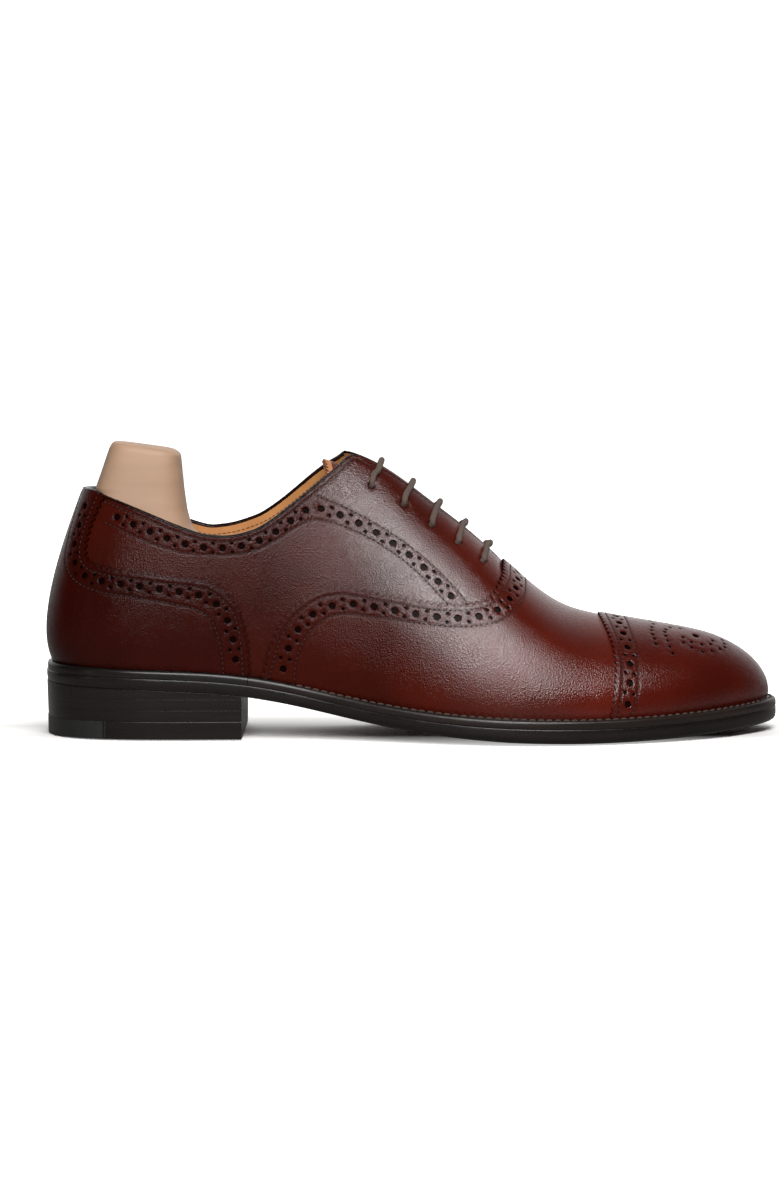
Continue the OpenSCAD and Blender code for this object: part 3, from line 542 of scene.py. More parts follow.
def cut_leather(name, look, outline, chart, depth, holes, rows, coarse=2.6):
    """A sheet of leather cut to an outline in the surface, with punched holes and stitched rows.

    outline: closed list of station points; holes: (t, s, radius); rows: lines of stitching."""
    outline = np.clip(outline, [-TOE, 0], [TOE, 1])
    flat = chart(outline)
    outline = outline[np.linalg.norm(flat - np.roll(flat, 1, 0), axis=1) > 0.02]
    loops = [circle((t, s), r, loop_count(r)) for t, s, r in holes]
    sizes = [len(outline)] + [len(loop) for loop in loops]
    seam = [resample(r, pitch=1.1) for r in rows]
    fixed = np.vstack([outline] + loops)
    stations = np.vstack([fixed, free_points(outline, fixed, holes, seam, chart, coarse)])
    faces, in_hole = sheet_faces(chart(stations), sizes)
    where, normal = point_on_last(*stations.T), normals(*stations.T)
    faces = orient(faces, where, normal)
    seam_gap = nearest(where, point_on_last(*np.vstack(seam).T))
    hole_gap = nearest(where, point_on_last(*np.array(holes)[:, :2].T))
    edge_gap = nearest(where, where[:len(outline)])
    # Pressed down along stitching and at cut edges, and darker there and by the holes.
    base = depth_of(depth, stations)
    sink = 0.2 * fade(seam_gap, 0.5)
    sink[:len(fixed)] += 0.125
    sink[:len(outline)] += 0.125
    dark = np.max([0.6 * fade(seam_gap, 0.6), 0.35 * fade(hole_gap, 1.9), 0.4 * fade(edge_gap, 0.5)], 0)
    face, back = [where - normal * (base + d)[:, None] for d in (sink, UPPER)]
    mesh = Mesh()
    mesh.add(face, faces[~in_hole], 0, dark)
    # The bottoms of the punched holes, painted near-black as the shade inside them; lace holes stay open.
    punched = np.zeros(len(stations), bool)
    punched[len(outline):len(fixed)] = np.repeat([r < LACE_HOLE for _, _, r in holes], sizes[1:])
    floors = faces[in_hole & punched[faces].all(1)]
    mesh.add(where - normal * (base + 0.8 * UPPER)[:, None], floors, 1, 1.0)
    # The walls round the outline and the holes, fully darkened: inked cut edges outside, painted shade inside
    # the punched holes.
    for start, size in zip(np.cumsum([0] + sizes[:-1]), sizes):
        mesh.grid([face[start:start + size], back[start:start + size]], 1, 1.0, closed=True, flip=start == 0)
    mesh.add(back, faces[:, ::-1], 1, 1.0)
    mesh.place(name, [look, CALF_EDGE])


# --- holes and stitches
# Radii of the holes, and the distance between stitches. Millimetres.
LACE_HOLE, BIG_HOLE, SMALL_HOLE = 1.5, 1.4, 0.72
STITCH_PITCH, WELT_STITCH_PITCH = 2.1, 3.4


def brogue(line, pitch, start, stop, apart=1.85):
    """Large holes along a line with a pair of small ones across it between each two."""
    centres = resample(line, pitch=pitch, start=start, stop=stop)
    holes = [(t, s, BIG_HOLE) for t, s in centres]
    count = 2 * len(centres) - 1
    fine, ahead = [resample(line, None, count, start + d, stop - d)[1::2] for d in (0, 0.3)]
    direction = point_on_last(*ahead.T) - point_on_last(*fine.T)
    for sign in (-apart, apart):
        holes += [(t, s, SMALL_HOLE) for t, s in sideways(fine, sign, direction)]
    # Where a row bends, small holes that would run into another one are left out.
    kept = []
    for t, s, r in holes:
        p = point_on_last(t, s)[0]
        if all(np.linalg.norm(p - q) > r + other + 0.35 for q, other in kept):
            kept.append((p, r))
            yield t, s, r


# A stitch as rings of thread: share of its length, radius, drop into the leather.
SEAM_STITCH = ((-0.5, 0.0945, 0.3), (-0.36, 0.2295, 0.08), (0, 0.27, -0.03),
               (0.36, 0.2295, 0.08), (0.5, 0.0945, 0.3))
LINING_STITCH = ((-0.5, 0.08, 0), (-0.3, 0.24, 0), (0.3, 0.24, 0), (0.5, 0.08, 0))
WELT_STITCH = ((-0.5, 0.18, 0.3), (-0.36, 0.42, 0.06), (0, 0.5, 0), (0.36, 0.42, 0.06), (0.5, 0.18, 0.3))


def stitch(mesh, centre, along, out, length, shape, sides=6, slant=0.0):
    across = np.cross(out, along)
    w = round_angles(sides)
    rings = []
    for share, radius, drop in shape:
        middle = centre + along * share * length + across * share * slant - out * drop
        rings.append(middle + (np.cos(w) * out + np.sin(w) * across) * radius)
    mesh.grid(rings, closed=True, flip=True)


def seam_thread(name, rows, depth, thread, sunk=0.16, facing=1, length=1.45, shape=SEAM_STITCH):
    """Stitches lying in the seams, their ends dipping into the leather."""
    mesh = Mesh()
    for line in rows:
        seats = resample(line, pitch=STITCH_PITCH)
        p = skin(*seats.T, depth_of(depth, seats) + sunk)
        for centre, d, n in zip(p, unit(np.gradient(p, axis=0)), normals(*seats.T)):
            stitch(mesh, centre, d, n * facing, length, shape)
    mesh.place(name, [thread], piece=False)


# --- materials
def material(name):
    m = bpy.data.materials.new(name)
    m.use_nodes = True
    return m, m.node_tree, m.node_tree.nodes["Principled BSDF"]


def put(tree, socket, value):
    """Gives a socket a number, a colour or another node's output."""
    if isinstance(value, bpy.types.NodeSocket):
        tree.links.new(value, socket)
    elif isinstance(value, tuple) and len(value) == 3 and socket.type == "RGBA":
        socket.default_value = (*value, 1)
    else:
        socket.default_value = value


def node(tree, kind, **values):
    n = tree.nodes.new("ShaderNode" + kind)
    for key, value in values.items():
        if key in n.inputs:
            put(tree, n.inputs[key], value)
        else:
            setattr(n, key, value)
    return n


def ramp(tree, source, dark_at, dark, light_at, light):
    """Runs from one colour to another over part of the source's range."""
    r = node(tree, "ValToRGB")
    put(tree, r.inputs[0], source)
    for e, at, colour in zip(r.color_ramp.elements, (dark_at, light_at), (dark, light)):
        e.position = at
        e.color = (*colour, 1)
    return r.outputs[0]


def mix(tree, a, b, factor):
    m = node(tree, "Mix", data_type="RGBA")
    for k, value in ((0, factor), (6, a), (7, b)):
        put(tree, m.inputs[k], value)
    return m.outputs[2]


def maths(tree, operation, *values, clamp=False):
    m = node(tree, "Math", operation=operation, use_clamp=clamp)
    for socket, value in zip(m.inputs, values):
        put(tree, socket, value)
    return m.outputs[0]


def scaled(tree, value, factor, plus=0.0, clamp=False):
    return maths(tree, "MULTIPLY_ADD", value, factor, plus, clamp=clamp)


def object_coords(tree):
    return node(tree, "TexCoord").outputs["Object"]


def axes(tree, coords):
    return node(tree, "SeparateXYZ", Vector=coords).outputs


def noise(tree, scale, detail=4.0, rough=0.5, stretch=None):
    where = object_coords(tree)
    if stretch:
        where = node(tree, "Mapping", Vector=where, Scale=stretch).outputs[0]
    return node(tree, "TexNoise", Vector=where, Scale=scale, Detail=detail, Roughness=rough).outputs[0]


def shade(colour, share):
    return tuple(c * share for c in colour)


def darkening_and_shade(tree):
    """The darkening stored in the mesh, by stitches, cut edges and holes, with painted shade on the hole
    walls and bottoms.
    """
    return node(tree, "Attribute", attribute_name="dark").outputs["Fac"]


def surface(tree, shader, colour, rough, height, strength, reach):
    """Colour, roughness and fine relief of a material."""
    put(tree, shader.inputs["Base Color"], colour)
    put(tree, shader.inputs["Roughness"], rough)
    relief = node(tree, "Bump", Strength=strength, Distance=reach, Height=height)
    put(tree, shader.inputs["Normal"], relief.outputs[0])


def calf_leather(name, light, dark, shine=0.37):
    """Polished calf: burnished darker toward the heel, fine grain, black in seams, and black inside holes as
    painted shade.
    """
    m, tree, shader = material(name)
    seam = darkening_and_shade(tree)
    x, _, z = axes(tree, object_coords(tree))
    tone = ramp(tree, noise(tree, 22, 3), 0.3, dark, 0.72, light)
    tone = mix(tree, tone, shade(dark, 0.55), scaled(tree, noise(tree, 900, 2, 0.6), 0.25))
    burnish = scaled(tree, scaled(tree, x, 15, -1.5, clamp=True), 0.56, 0.44)
    tone = mix(tree, (0.0, 0.0, 0.0), tone, burnish)
    # Darkened where the mesh says so: along stitches, at cut edges and round holes, and as painted shade
    # inside the holes.
    tone = mix(tree, tone, shade(dark, 0.2), scaled(tree, seam, 0.85))
    rough = scaled(tree, seam, 0.12, scaled(tree, noise(tree, 55, 4), 0.07, 0.145))
    # Polished most at the forepart and the facings, least low on the quarters.
    high = scaled(tree, z, 0.6, x)
    polish = scaled(tree, scaled(tree, high, 38, -38 * 0.128, clamp=True), 0.72, 0.28)
    # Less shine where darkened, so the painted shade inside the holes stays black.
    clean = maths(tree, "MULTIPLY", scaled(tree, seam, -0.9, 1.0, clamp=True), polish)
    put(tree, shader.inputs["Specular IOR Level"], scaled(tree, clean, shine))
    put(tree, shader.inputs["Coat Weight"], scaled(tree, clean, 0.12))
    put(tree, shader.inputs["Coat Roughness"], 0.18)
    cells = node(tree, "TexVoronoi", Scale=1700.0, Vector=object_coords(tree)).outputs["Distance"]
    surface(tree, shader, tone, rough, scaled(tree, noise(tree, 1300, 2), 0.5, cells), 0.9, 0.00013)
    return m


def lining_leather(name, light, dark):
    m, tree, shader = material(name)
    tone = ramp(tree, noise(tree, 60, 5, 0.6), 0.25, dark, 0.75, light)
    tone = mix(tree, tone, shade(dark, 0.35), scaled(tree, darkening_and_shade(tree), 0.6))
    surface(tree, shader, tone, 0.62, noise(tree, 900, 4, 0.7), 0.3, 0.0002)
    return m


def edge_leather(name, light, dark, rough):
    """Inked and waxed edge with faint streaks along the lifts."""
    m, tree, shader = material(name)
    streak = noise(tree, 40, 5, 0.6, stretch=(0.6, 0.6, 9))
    put(tree, shader.inputs["Specular IOR Level"], 0.35)
    tone = ramp(tree, streak, 0.3, dark, 0.75, light)
    rough = scaled(tree, noise(tree, 90, 4), 0.22, rough - 0.1)
    surface(tree, shader, tone, rough, scaled(tree, noise(tree, 600, 3), 0.3, streak), 0.25, 0.0003)
    return m


def cloth(name, light, dark, scale):
    m, tree, shader = material(name)
    weave = node(tree, "TexWave", Vector=object_coords(tree), Scale=scale, Distortion=1.5, Detail=1.0)
    wave = weave.outputs["Fac"]
    surface(tree, shader, ramp(tree, wave, 0.2, dark, 0.8, light), 0.8, wave, 0.5, 0.0002)
    return m


def plain_wood(name, light, dark):
    """Unvarnished fine-grained wood: long soft rings and short pores."""
    m, tree, shader = material(name)
    pores = noise(tree, 220, 4, 0.7, stretch=(0.09, 1.0, 1.0))
    tone = ramp(tree, noise(tree, 9, 4, 0.55, stretch=(1.0, 5.0, 9.0)), 0.3, dark, 0.7, light)
    tone = mix(tree, tone, shade(dark, 0.72), scaled(tree, pores, 0.45))
    surface(tree, shader, tone, 0.6, pores, 0.12, 0.0002)
    return m


def metal(name, colour, rough):
    m, tree, shader = material(name)
    put(tree, shader.inputs["Metallic"], 1.0)
    brushed = noise(tree, 500, 3, 0.5, stretch=(1, 8, 1))
    tone = mix(tree, colour, shade(colour, 0.6), noise(tree, 120, 4))
    surface(tree, shader, tone, scaled(tree, brushed, 0.2, rough), brushed, 0.1, 0.0001)
    return m


def rubber(name, light, dark):
    m, tree, shader = material(name)
    tone = ramp(tree, noise(tree, 300, 4), 0.3, dark, 0.7, light)
    surface(tree, shader, tone, 0.55, noise(tree, 1200, 3), 0.2, 0.0002)
    return m


CALF = calf_leather("calf_burgundy", (0.115, 0.0105, 0.004), (0.06, 0.006, 0.0028))
CALF_SIDE = calf_leather("calf_quarters", (0.12, 0.0115, 0.0046), (0.062, 0.0066, 0.0032), shine=0.44)
CALF_TOE = calf_leather("calf_burnished", (0.088, 0.0068, 0.0026), (0.046, 0.0040, 0.0018))
CALF_EDGE = calf_leather("calf_cut_edge", (0.03, 0.007, 0.004), (0.014, 0.004, 0.003))
BINDING = calf_leather("calf_binding", (0.03, 0.006, 0.004), (0.014, 0.004, 0.003))
TONGUE_TOP = calf_leather("calf_tongue", (0.3, 0.085, 0.055), (0.18, 0.045, 0.03))
TAN = lining_leather("lining_tan", (0.56, 0.26, 0.085), (0.4, 0.165, 0.05))
SUEDE = lining_leather("pinked_edge", (0.46, 0.2, 0.085), (0.3, 0.115, 0.045))
BOARD = lining_leather("insole_leather", (0.5, 0.32, 0.19), (0.38, 0.23, 0.13))
SOLE_EDGE = edge_leather("sole_edge", (0.0095, 0.0068, 0.0058), (0.0045, 0.0034, 0.003), rough=0.27)
WELT_TOP = edge_leather("welt_leather", (0.018, 0.012, 0.01), (0.008, 0.0055, 0.0045), rough=0.3)
HEEL_EDGE = edge_leather("heel_edge", (0.0085, 0.006, 0.005), (0.004, 0.003, 0.0026), rough=0.27)
SOLE_BOTTOM = edge_leather("sole_bottom", (0.3, 0.17, 0.09), (0.2, 0.11, 0.06), rough=0.5)
THREAD = cloth("seam_thread", (0.028, 0.012, 0.008), (0.011, 0.005, 0.0035), 2600)
WELT_THREAD = cloth("welt_thread", (0.075, 0.05, 0.038), (0.035, 0.022, 0.017), 2200)
LINING_THREAD = cloth("lining_thread", (0.2, 0.1, 0.045), (0.11, 0.05, 0.022), 2400)
LACE = cloth("waxed_lace", (0.125, 0.088, 0.07), (0.06, 0.04, 0.031), 1500)
CANVAS = cloth("canvas", (0.62, 0.54, 0.40), (0.48, 0.4, 0.28), 700)
RUBBER = rubber("black_rubber", (0.01, 0.0095, 0.009), (0.006, 0.006, 0.006))
BRASS = metal("brass", (0.62, 0.44, 0.18), 0.28)
STEEL = metal("steel", (0.52, 0.53, 0.55), 0.25)
WOOD = plain_wood("tree_wood", (0.44, 0.285, 0.187), (0.36, 0.222, 0.143))
CORK = lining_leather("cork", (0.42, 0.25, 0.12), (0.25, 0.13, 0.06))


# --- the upper
def share_at(line, t):
    """Share of the wall's height at which a line crosses a station."""
    return np.interp(np.abs(t), line[:, 0], line[:, 1])


def ahead_of_cap(ts):
    """How far a point lies in front of the cap's edge, in stations."""
    return np.abs(ts[:, 0]) - np.interp(ts[:, 1], CAP_EDGE[:, 1], CAP_EDGE[:, 0])


def bottom_edge(first, last, pitch=0.1):
    return level(first, last, max(2, int(abs(last - first) / pitch)))


def counter_cover():
    pinked = gimped(COUNTER_EDGE, side=-1)
    over = TOPLINE[TOPLINE[:, 0] < pinked[-1][0]][::-1]
    back = np.array([(0.0, share_at(TOPLINE, 0))])
    half = np.vstack([pinked, resample(np.vstack([pinked[-1:], over, back]), pitch=1.5)[1:-1]])
    outline = np.vstack([bottom_edge(-pinked[0][0], pinked[0][0]), half, back, mirrored(half)[::-1]])
    rows = both(offset(COUNTER_EDGE, 2.1), COUNTER_INNER)
    holes = [h for line in both(COUNTER_HOLES) for h in brogue(line, 8.3, start=3.5, stop=1.5)]
    cut_leather("counter_cover", CALF_TOE, outline, side_chart, TOP_DEPTH, holes, rows)
    seam_thread("counter_stitching", rows, TOP_DEPTH, THREAD)


def vamp():
    pinked = gimped(VAMP_EDGE)
    pinked = pinked[pinked[:, 1] < 0.997]
    under = resample(offset(CAP_EDGE, -4.0), pitch=1.5)
    under[-1, 1] = 1
    half = np.vstack([pinked[::-1], bottom_edge(pinked[0][0], under[0][0]), under])
    outline = np.vstack([half, mirrored(half[:-1])[::-1], (10.84, 1.0)])
    cap_line = point_on_last(*np.vstack(both(resample(CAP_EDGE, pitch=1.0))).T)

    def depth(ts):
        """Pressed down under the cap and along its edge."""
        beside = 0.16 * fade(nearest(point_on_last(*ts.T), cap_line), 2.0)
        return np.where(ahead_of_cap(ts) > 0, 0.18, beside)

    row = offset(VAMP_EDGE, -2.1)
    rows = both(row, VAMP_INNER)
    holes = [h for line in both(mixed(row, VAMP_INNER, 0.48)) for h in brogue(line, 8.5, start=5.5, stop=4.2)]
    holes.append((11.02, 1.0, BIG_HOLE))
    cut_leather("vamp", CALF, outline, crown_chart, depth, holes, rows, coarse=2.4)
    seam_thread("vamp_stitching", rows, TOP_DEPTH, THREAD)


# The medallion from above: x, and distance from the cap's middle line; one hole, or one on each side.
MEDALLION_SMALL = [
    (209.8, 2.2), (210.6, 7), (209.6, 11.4), (209.2, 14.4), (209.5, 17.3), (209.7, 20), (210.2, 22.8),
    (217.4, 7.6), (215.4, 10.8), (214.7, 13.6), (214.9, 16.6), (215.3, 19.4), (216, 22.4), (216.8, 25.2),
    (221.8, 6), (222, 14.6), (222, 18), (225.2, 16.5), (225, 19.6), (229.6, 16), (229.7, 19.6),
    (233.5, 14), (234.6, 10.6), (233.7, 17.6), (237.3, 14.4), (239.4, 11.4), (239.6, 8.4), (239, 5.4),
]
MEDALLION_CENTRE = [216.7, 221, 232, 236, 244.3, 247.7, 250.8]
MEDALLION_BIG = (227.7, 10.6)
CAP_MIDDLE = ((190, 209, 226, 262), (3.5, 4.8, 6.2, 9))


def medallion():
    spots = [(x, 0, SMALL_HOLE) for x in MEDALLION_CENTRE]
    spots += [(x, side * y, SMALL_HOLE) for x, y in MEDALLION_SMALL for side in (-1, 1)]
    spots += [(MEDALLION_BIG[0], side * MEDALLION_BIG[1], BIG_HOLE) for side in (-1, 1)]
    where = from_above([(x, y + np.interp(x, *CAP_MIDDLE)) for x, y, _ in spots])
    return [(t, s, r) for (t, s), (_, _, r) in zip(where, spots)]


def toe_cap():
    pinked = gimped(CAP_EDGE, tooth=0.9)
    pinked = pinked[pinked[:, 1] < 0.995]
    half = np.vstack([(12.95, 1.0), pinked[::-1], bottom_edge(pinked[0][0], 17.0, 0.06)])
    outline = np.vstack([half, mirrored(half[1:-1])[::-1]])
    row = offset(CAP_EDGE, -2.2)
    rows = both(row, CAP_INNER)
    holes = medallion()
    holes += [h for line in both(mixed(row, CAP_INNER)) for h in brogue(line, 8.4, start=6.0, stop=4.2)]
    holes.append((13.2, 1.0, BIG_HOLE))

    def depth(ts):
        return CAP_DEPTH * (1 - 0.35 * smooth_step(0.6, 3.0, ahead_of_cap(ts)))

    cut_leather("toe_cap", CALF_TOE, outline, crown_chart, depth, holes, rows, coarse=2.2)
    seam_thread("cap_stitching", rows, depth, THREAD)


EYELETS = [7.52, 8.28, 8.93, 9.55, 10.14]
EYELET_RISES = [0.835, 0.815, 0.795, 0.785, 0.77]
SIDE_NAMES = {1: "lateral", -1: "medial"}


def quarter(side):
    topline, band_lower = TOPLINES[side], BAND_LOWERS[side]
    top = resample(topline, pitch=1.0)
    under = offset(resample(VAMP_EDGE, pitch=2.0), -7.0)
    under = under[(under[:, 0] > 5.4) & (under[:, 0] < 10.6) & (under[:, 1] > 0.02)]
    low = bottom_edge(0.1, max(5.2, under[0][0] - 0.15))
    facing = level(max(top[-1][0], 7.35), 10.72, 60, 1.0)
    outline = np.vstack([(0.0, share_at(TOPLINE, 0)), (0.0, 0.0), low, under, facing[::-1],
                         top[top[:, 0] > 0.02][::-1]])
    upper_row = offset(topline[topline[:, 0] > 1.5], -2.0)
    upper_row = upper_row[upper_row[:, 0] < 7.2]
    facing_row = level(7.45, 10.6, 50)
    facing_row[:, 1] = np.interp(facing_row[:, 0], [7.45, 8, 10.6], [0.955, 0.965, 0.965])
    front = smooth_line(np.vstack([resample(upper_row, pitch=4.0), resample(facing_row, pitch=4.0)]), 4)
    band = upper_row[(upper_row[:, 0] > 1.75) & (upper_row[:, 0] < 6.15)]
    holes = [(t, s, LACE_HOLE) for t, s in zip(EYELETS, EYELET_RISES)]
    holes += brogue(mixed(band, band_lower[band_lower[:, 0] < 5.95]), 7.6, start=3.5, stop=2.0)
    holes += brogue(mixed(FACING_LINE, band_lower[band_lower[:, 0] >= 6.1]), 8.4, start=2.0, stop=6.0)
    rows = [line * [side, 1] for line in (front, band_lower, FACING_LINE)]
    holes = [(side * t, s, r) for t, s, r in holes]
    name = f"quarter_{SIDE_NAMES[side]}"
    cut_leather(name, CALF_SIDE, outline * [side, 1], side_chart, QUARTER_DEPTH, holes, rows)
    seam_thread(f"{name}_stitching", rows, QUARTER_DEPTH, THREAD)


def thickened(depth):
    """A depth that makes room for the heel stiffener."""
    def total(t, s):
        return depth + 1.2 * np.clip((5 - np.abs(t)) / 1.6, 0, 1) * np.clip((0.62 - s) / 0.2, 0, 1)
    return total


LINING_DEPTHS = (thickened(LINING_IN), thickened(LINING_DEPTH))


def layer(mesh, ts, low, high, rows, depths, flip=False):
    """Two faces of a layer over stations ts between two height functions, at the depths given."""
    for depth, turn in zip(depths, (flip, not flip)):
        grid = []
        for t in ts:
            s = np.linspace(low(t), high(t), rows + 1)
            grid.append(skin(np.full(rows + 1, t), s, depth(t, s)))
        mesh.grid(grid, flip=turn)


def quarter_lining(side):
    topline = TOPLINES[side]

    def low(t):
        return 0.02 if abs(t) < 5.2 else max(0.02, share_at(VAMP_EDGE, t) - 0.08)

    def high(t):
        return share_at(topline, t) if abs(t) < min(7.3, topline[-1, 0]) else 1.0

    ts = np.concatenate([np.linspace(0.0, 7.4, 90), np.linspace(7.5, 10.6, 30)])
    mesh = Mesh()
    layer(mesh, (ts * side)[::side], low, high, 40, LINING_DEPTHS)
    word = SIDE_NAMES[side]
    mesh.place(f"quarter_lining_{word}", [TAN], f"eyelet_tape_{word}")
    row = offset(topline[topline[:, 0] < 7.0], -3.4) * [side, 1]
    seam_thread(f"lining_stitching_{word}", [row], LINING_IN, LINING_THREAD, 0.02, -1, 1.5, LINING_STITCH)


def vamp_lining():
    def roof(t):
        return 1.0 if abs(t) >= 10.8 else max(0.03, share_at(VAMP_EDGE, t) - 0.1)

    ts = np.concatenate([np.linspace(5.3, 10.7, 40), np.linspace(10.8, 17, 60)])
    mesh = Mesh()
    for side in (1, -1):
        layer(mesh, ts * side, lambda t: 0.0, roof, 24, LINING_DEPTHS, side < 0)
    mesh.place("vamp_lining", [TAN], "vamp_interlining", "toe_puff")


def topline_binding():
    """A folded strip over the raw top edge, round in section."""
    lateral, medial = [resample(TOPLINES[side], pitch=1.0) for side in (1, -1)]
    path = np.vstack([mirrored(medial)[::-1], lateral[1:]])
    path = path[path[:, 1] < 0.995]
    top = skin(*path.T, (QUARTER_DEPTH + LINING_IN) / 2)
    n = normals(*path.T)
    upward = np.cross(n, unit(np.gradient(top, axis=0)))
    upward *= np.sign(upward[:, 2:3])
    wide = (LINING_IN - QUARTER_DEPTH) / 2 + 0.12
    turn = np.linspace(-0.25 * math.pi, 1.25 * math.pi, 11)
    mesh = Mesh()
    mesh.grid([top + n * wide * math.cos(a) + upward * (0.95 * math.sin(a) - 0.25) for a in turn], flip=True)
    mesh.place("topline_binding", [BINDING])


def heel_stiffener():
    mesh = Mesh()
    ts = np.linspace(-4.8, 4.8, 60)
    layer(mesh, ts, lambda t: 0.01, lambda t: 0.6, 16, (lambda t, s: 2.25, thickened(2.4)))
    mesh.place("heel_stiffener", [CANVAS])


# --- tongue and lace
LACE_R = 1.25
# Each bar leans this many sections toward the toe between its hole and the ridge.
LACE_LEAN = 0.24
RIDGE_UP = np.array([math.sin(0.56), 0, math.cos(0.56)])


def ridge(t):
    return (point_on_last(t, 1)[0] + point_on_last(-t, 1)[0]) / 2


def tongue_rows(stations, sink):
    depths = np.interp(stations, [6.6, 7.4, 9.2, 10.2, 10.7, 11], [6, 8.3, 8.3, 8, 6.4, 4.6]) + sink
    halves = np.interp(stations, [6.6, 7.4, 10.4, 11], [0.80, 0.66, 0.66, 0.78])
    w = np.linspace(0, 1, 41)[:, None]
    rows = []
    for t, d, h in zip(stations, depths, halves):
        a, b = skin(t, h, d)[0], skin(-t, h, d)[0]
        k = 2 * (ridge(t) - RIDGE_UP * d) - (a + b) / 2
        rows.append(a * (1 - w) ** 2 + 2 * k * w * (1 - w) + b * w * w)
    return np.array(rows)


def tongue():
    stations = np.concatenate([np.linspace(6.6, 7.4, 14), np.linspace(7.5, 11, 46)])
    top, low = tongue_rows(stations, 0.0), tongue_rows(stations, 1.4)
    # Pinked tip: every other column of the free end is drawn back.
    for grid in (top, low):
        back = grid[0] - grid[2]
        grid[0, 1::2] -= back[1::2] * 0.9
    mesh = Mesh()
    mesh.grid(top[:4], 2, flip=True)
    mesh.grid(top[3:], 0, 0.1, flip=True)
    mesh.grid(low, 1)
    for a, b, turn in ((top[:, 0], low[:, 0], False), (top[:, -1], low[:, -1], True), (top[0], low[0], True)):
        mesh.grid([a, b], 2, flip=turn)
    mesh.place("tongue", [TONGUE_TOP, TAN, SUEDE], body="tongue")


def tube(mesh, path, radius, sides=12):
    """A round cord along a path, closed at its ends."""
    d = unit(np.gradient(path, axis=0))
    a = unit(np.cross(d, [0.03, 0.08, 1.0]))
    b = np.cross(d, a)
    w = round_angles(sides)
    radius = np.broadcast_to(radius, (len(path),))
    rings = np.array([p + (u * np.cos(w) + v * np.sin(w)) * r for p, u, v, r in zip(path, a, b, radius)])
    mesh.grid(rings, closed=True)
    for end, turn in ((0, 1), (-1, -1)):
        fan = [(sides, k, (k + 1) % sides)[::turn] for k in range(sides)]
        mesh.add(np.vstack([rings[end], path[end]]), fan)


def lace_leg(i, side):
    t, r, out = EYELETS[i], EYELET_RISES[i], QUARTER_DEPTH - LACE_R - 0.1
    spots = [(0, r, LINING_IN + 0.6), (0, r, 1.6), (0.01, r + 0.003, 0.2), (0.03, r + 0.02, -0.35),
             (0.3, r + 0.06, out), (0.65, 0.92, out), (0.98, 0.985, out)]
    return [skin(side * (t + LACE_LEAN * lean), s, d)[0] for lean, s, d in spots]


def lace():
    mesh = Mesh()
    for i, t in enumerate(EYELETS):
        crown = ridge(t + LACE_LEAN) + RIDGE_UP * 0.9
        path = smooth_line(lace_leg(i, 1) + [crown] + lace_leg(i, -1)[::-1], 8)
        tube(mesh, path, LACE_R * (1 + 0.03 * np.sin(np.arange(len(path)) * 0.9)))
    # Behind the lining the lace runs on from hole to hole, side by side.
    share = np.linspace(0, 1, 7)
    depths = LINING_IN + LACE_R + 0.4 - 0.3 * np.abs(2 * share - 1)
    for i in range(4):
        ts = EYELETS[i] + (EYELETS[i + 1] - EYELETS[i]) * share
        rises = EYELET_RISES[i] + (EYELET_RISES[i + 1] - EYELET_RISES[i]) * share - 0.01
        tube(mesh, smooth_line(skin((1 if i % 2 else -1) * ts, rises, depths), 8), LACE_R)
    mesh.place("lace", [LACE])


# --- the bottom
WELT = 3.2
HEEL_END = 4.22
# Against stations: the welt's margin, and the depth of the sole under the feather line.
WELT_MARGIN = ([0, 1, 4, 6, 8, 10, 15, 17], [2, 1.6, 2, 2.5, 3.75, 4.75, 5, 3.6])
SOLE_DEPTH = ([0, 4, 6, 8, 10, 17], [8, 8.2, 8.4, 9, 9.5, 9.5])


def seat(t):
    """Height of the feather line."""
    return ring(RINGS[0], np.abs(t))[:, 2]


def tread(t):
    """Height of the sole's underside."""
    return seat(t) - np.interp(np.abs(t), *SOLE_DEPTH)


def margin(share, plus, front=0.0):
    """A margin round the feather line: a share of the welt's, plus a width, less one toward the toe."""
    def width(t):
        t = np.abs(t)
        return np.interp(t, *WELT_MARGIN) * share + plus - front * smooth_step(4.4, 9, t)
    return width


def above(height):
    """A height over the feather line."""
    return lambda t: seat(t) + height


def fixed(height):
    return lambda t: np.full(len(t), float(height))


def plan(t, width, height):
    """Points round the sole at a margin outside the feather line."""
    a, b = ring(RINGS[0], t), ring(RINGS[0], t + 0.02)
    p = a + unit(np.stack([b[:, 1] - a[:, 1], a[:, 0] - b[:, 0], 0 * t], 1)) * width(t)[:, None]
    p[:, 2] = height(t)
    return p


def spread(*stops):
    """Stations from stop to stop; between two stops stands the number of steps."""
    parts = [np.linspace(a, b, n, endpoint=False) for a, n, b in zip(stops[:-2:2], stops[1::2], stops[2::2])]
    return np.append(np.concatenate(parts), stops[-1])


def across(mesh, ts, width, height, mark=0, flip=False, rows=12):
    """Fills the plan between the lateral and medial edges."""
    w = np.linspace(0, 1, rows + 1)[:, None, None]
    mesh.grid(plan(ts, width, height) * (1 - w) + plan(-ts, width, height) * w, mark, flip=flip)


FRONT_HALF = np.concatenate([np.linspace(0, 15, 120), np.linspace(15.05, 17, 40)])


def strip(name, look, ts, profile):
    """A strip swept round the sole; profile: share of the margin, plus, height over its top."""
    mesh = Mesh()
    mesh.grid([plan(ts, margin(share, plus), above(height - 0.15)) for share, plus, height in profile])
    mesh.place(name, [look])


def welt():
    ts = np.concatenate([np.linspace(4.33, 15, 150), np.linspace(15.05, 17, 50)])
    strip("welt", WELT_TOP, np.concatenate([ts, -ts[::-1][1:]]),
          [(0, -3.5, -WELT), (0, -3.5, 0), (0, 0.2, 0.05), (0.45, 0, 0.12), (1, -1.1, 0.1), (1, -0.35, -0.12),
           (1, 0.02, -0.7), (1, 0.1, -1.6), (1, 0.1, -2.9), (1, -0.02, -WELT)])


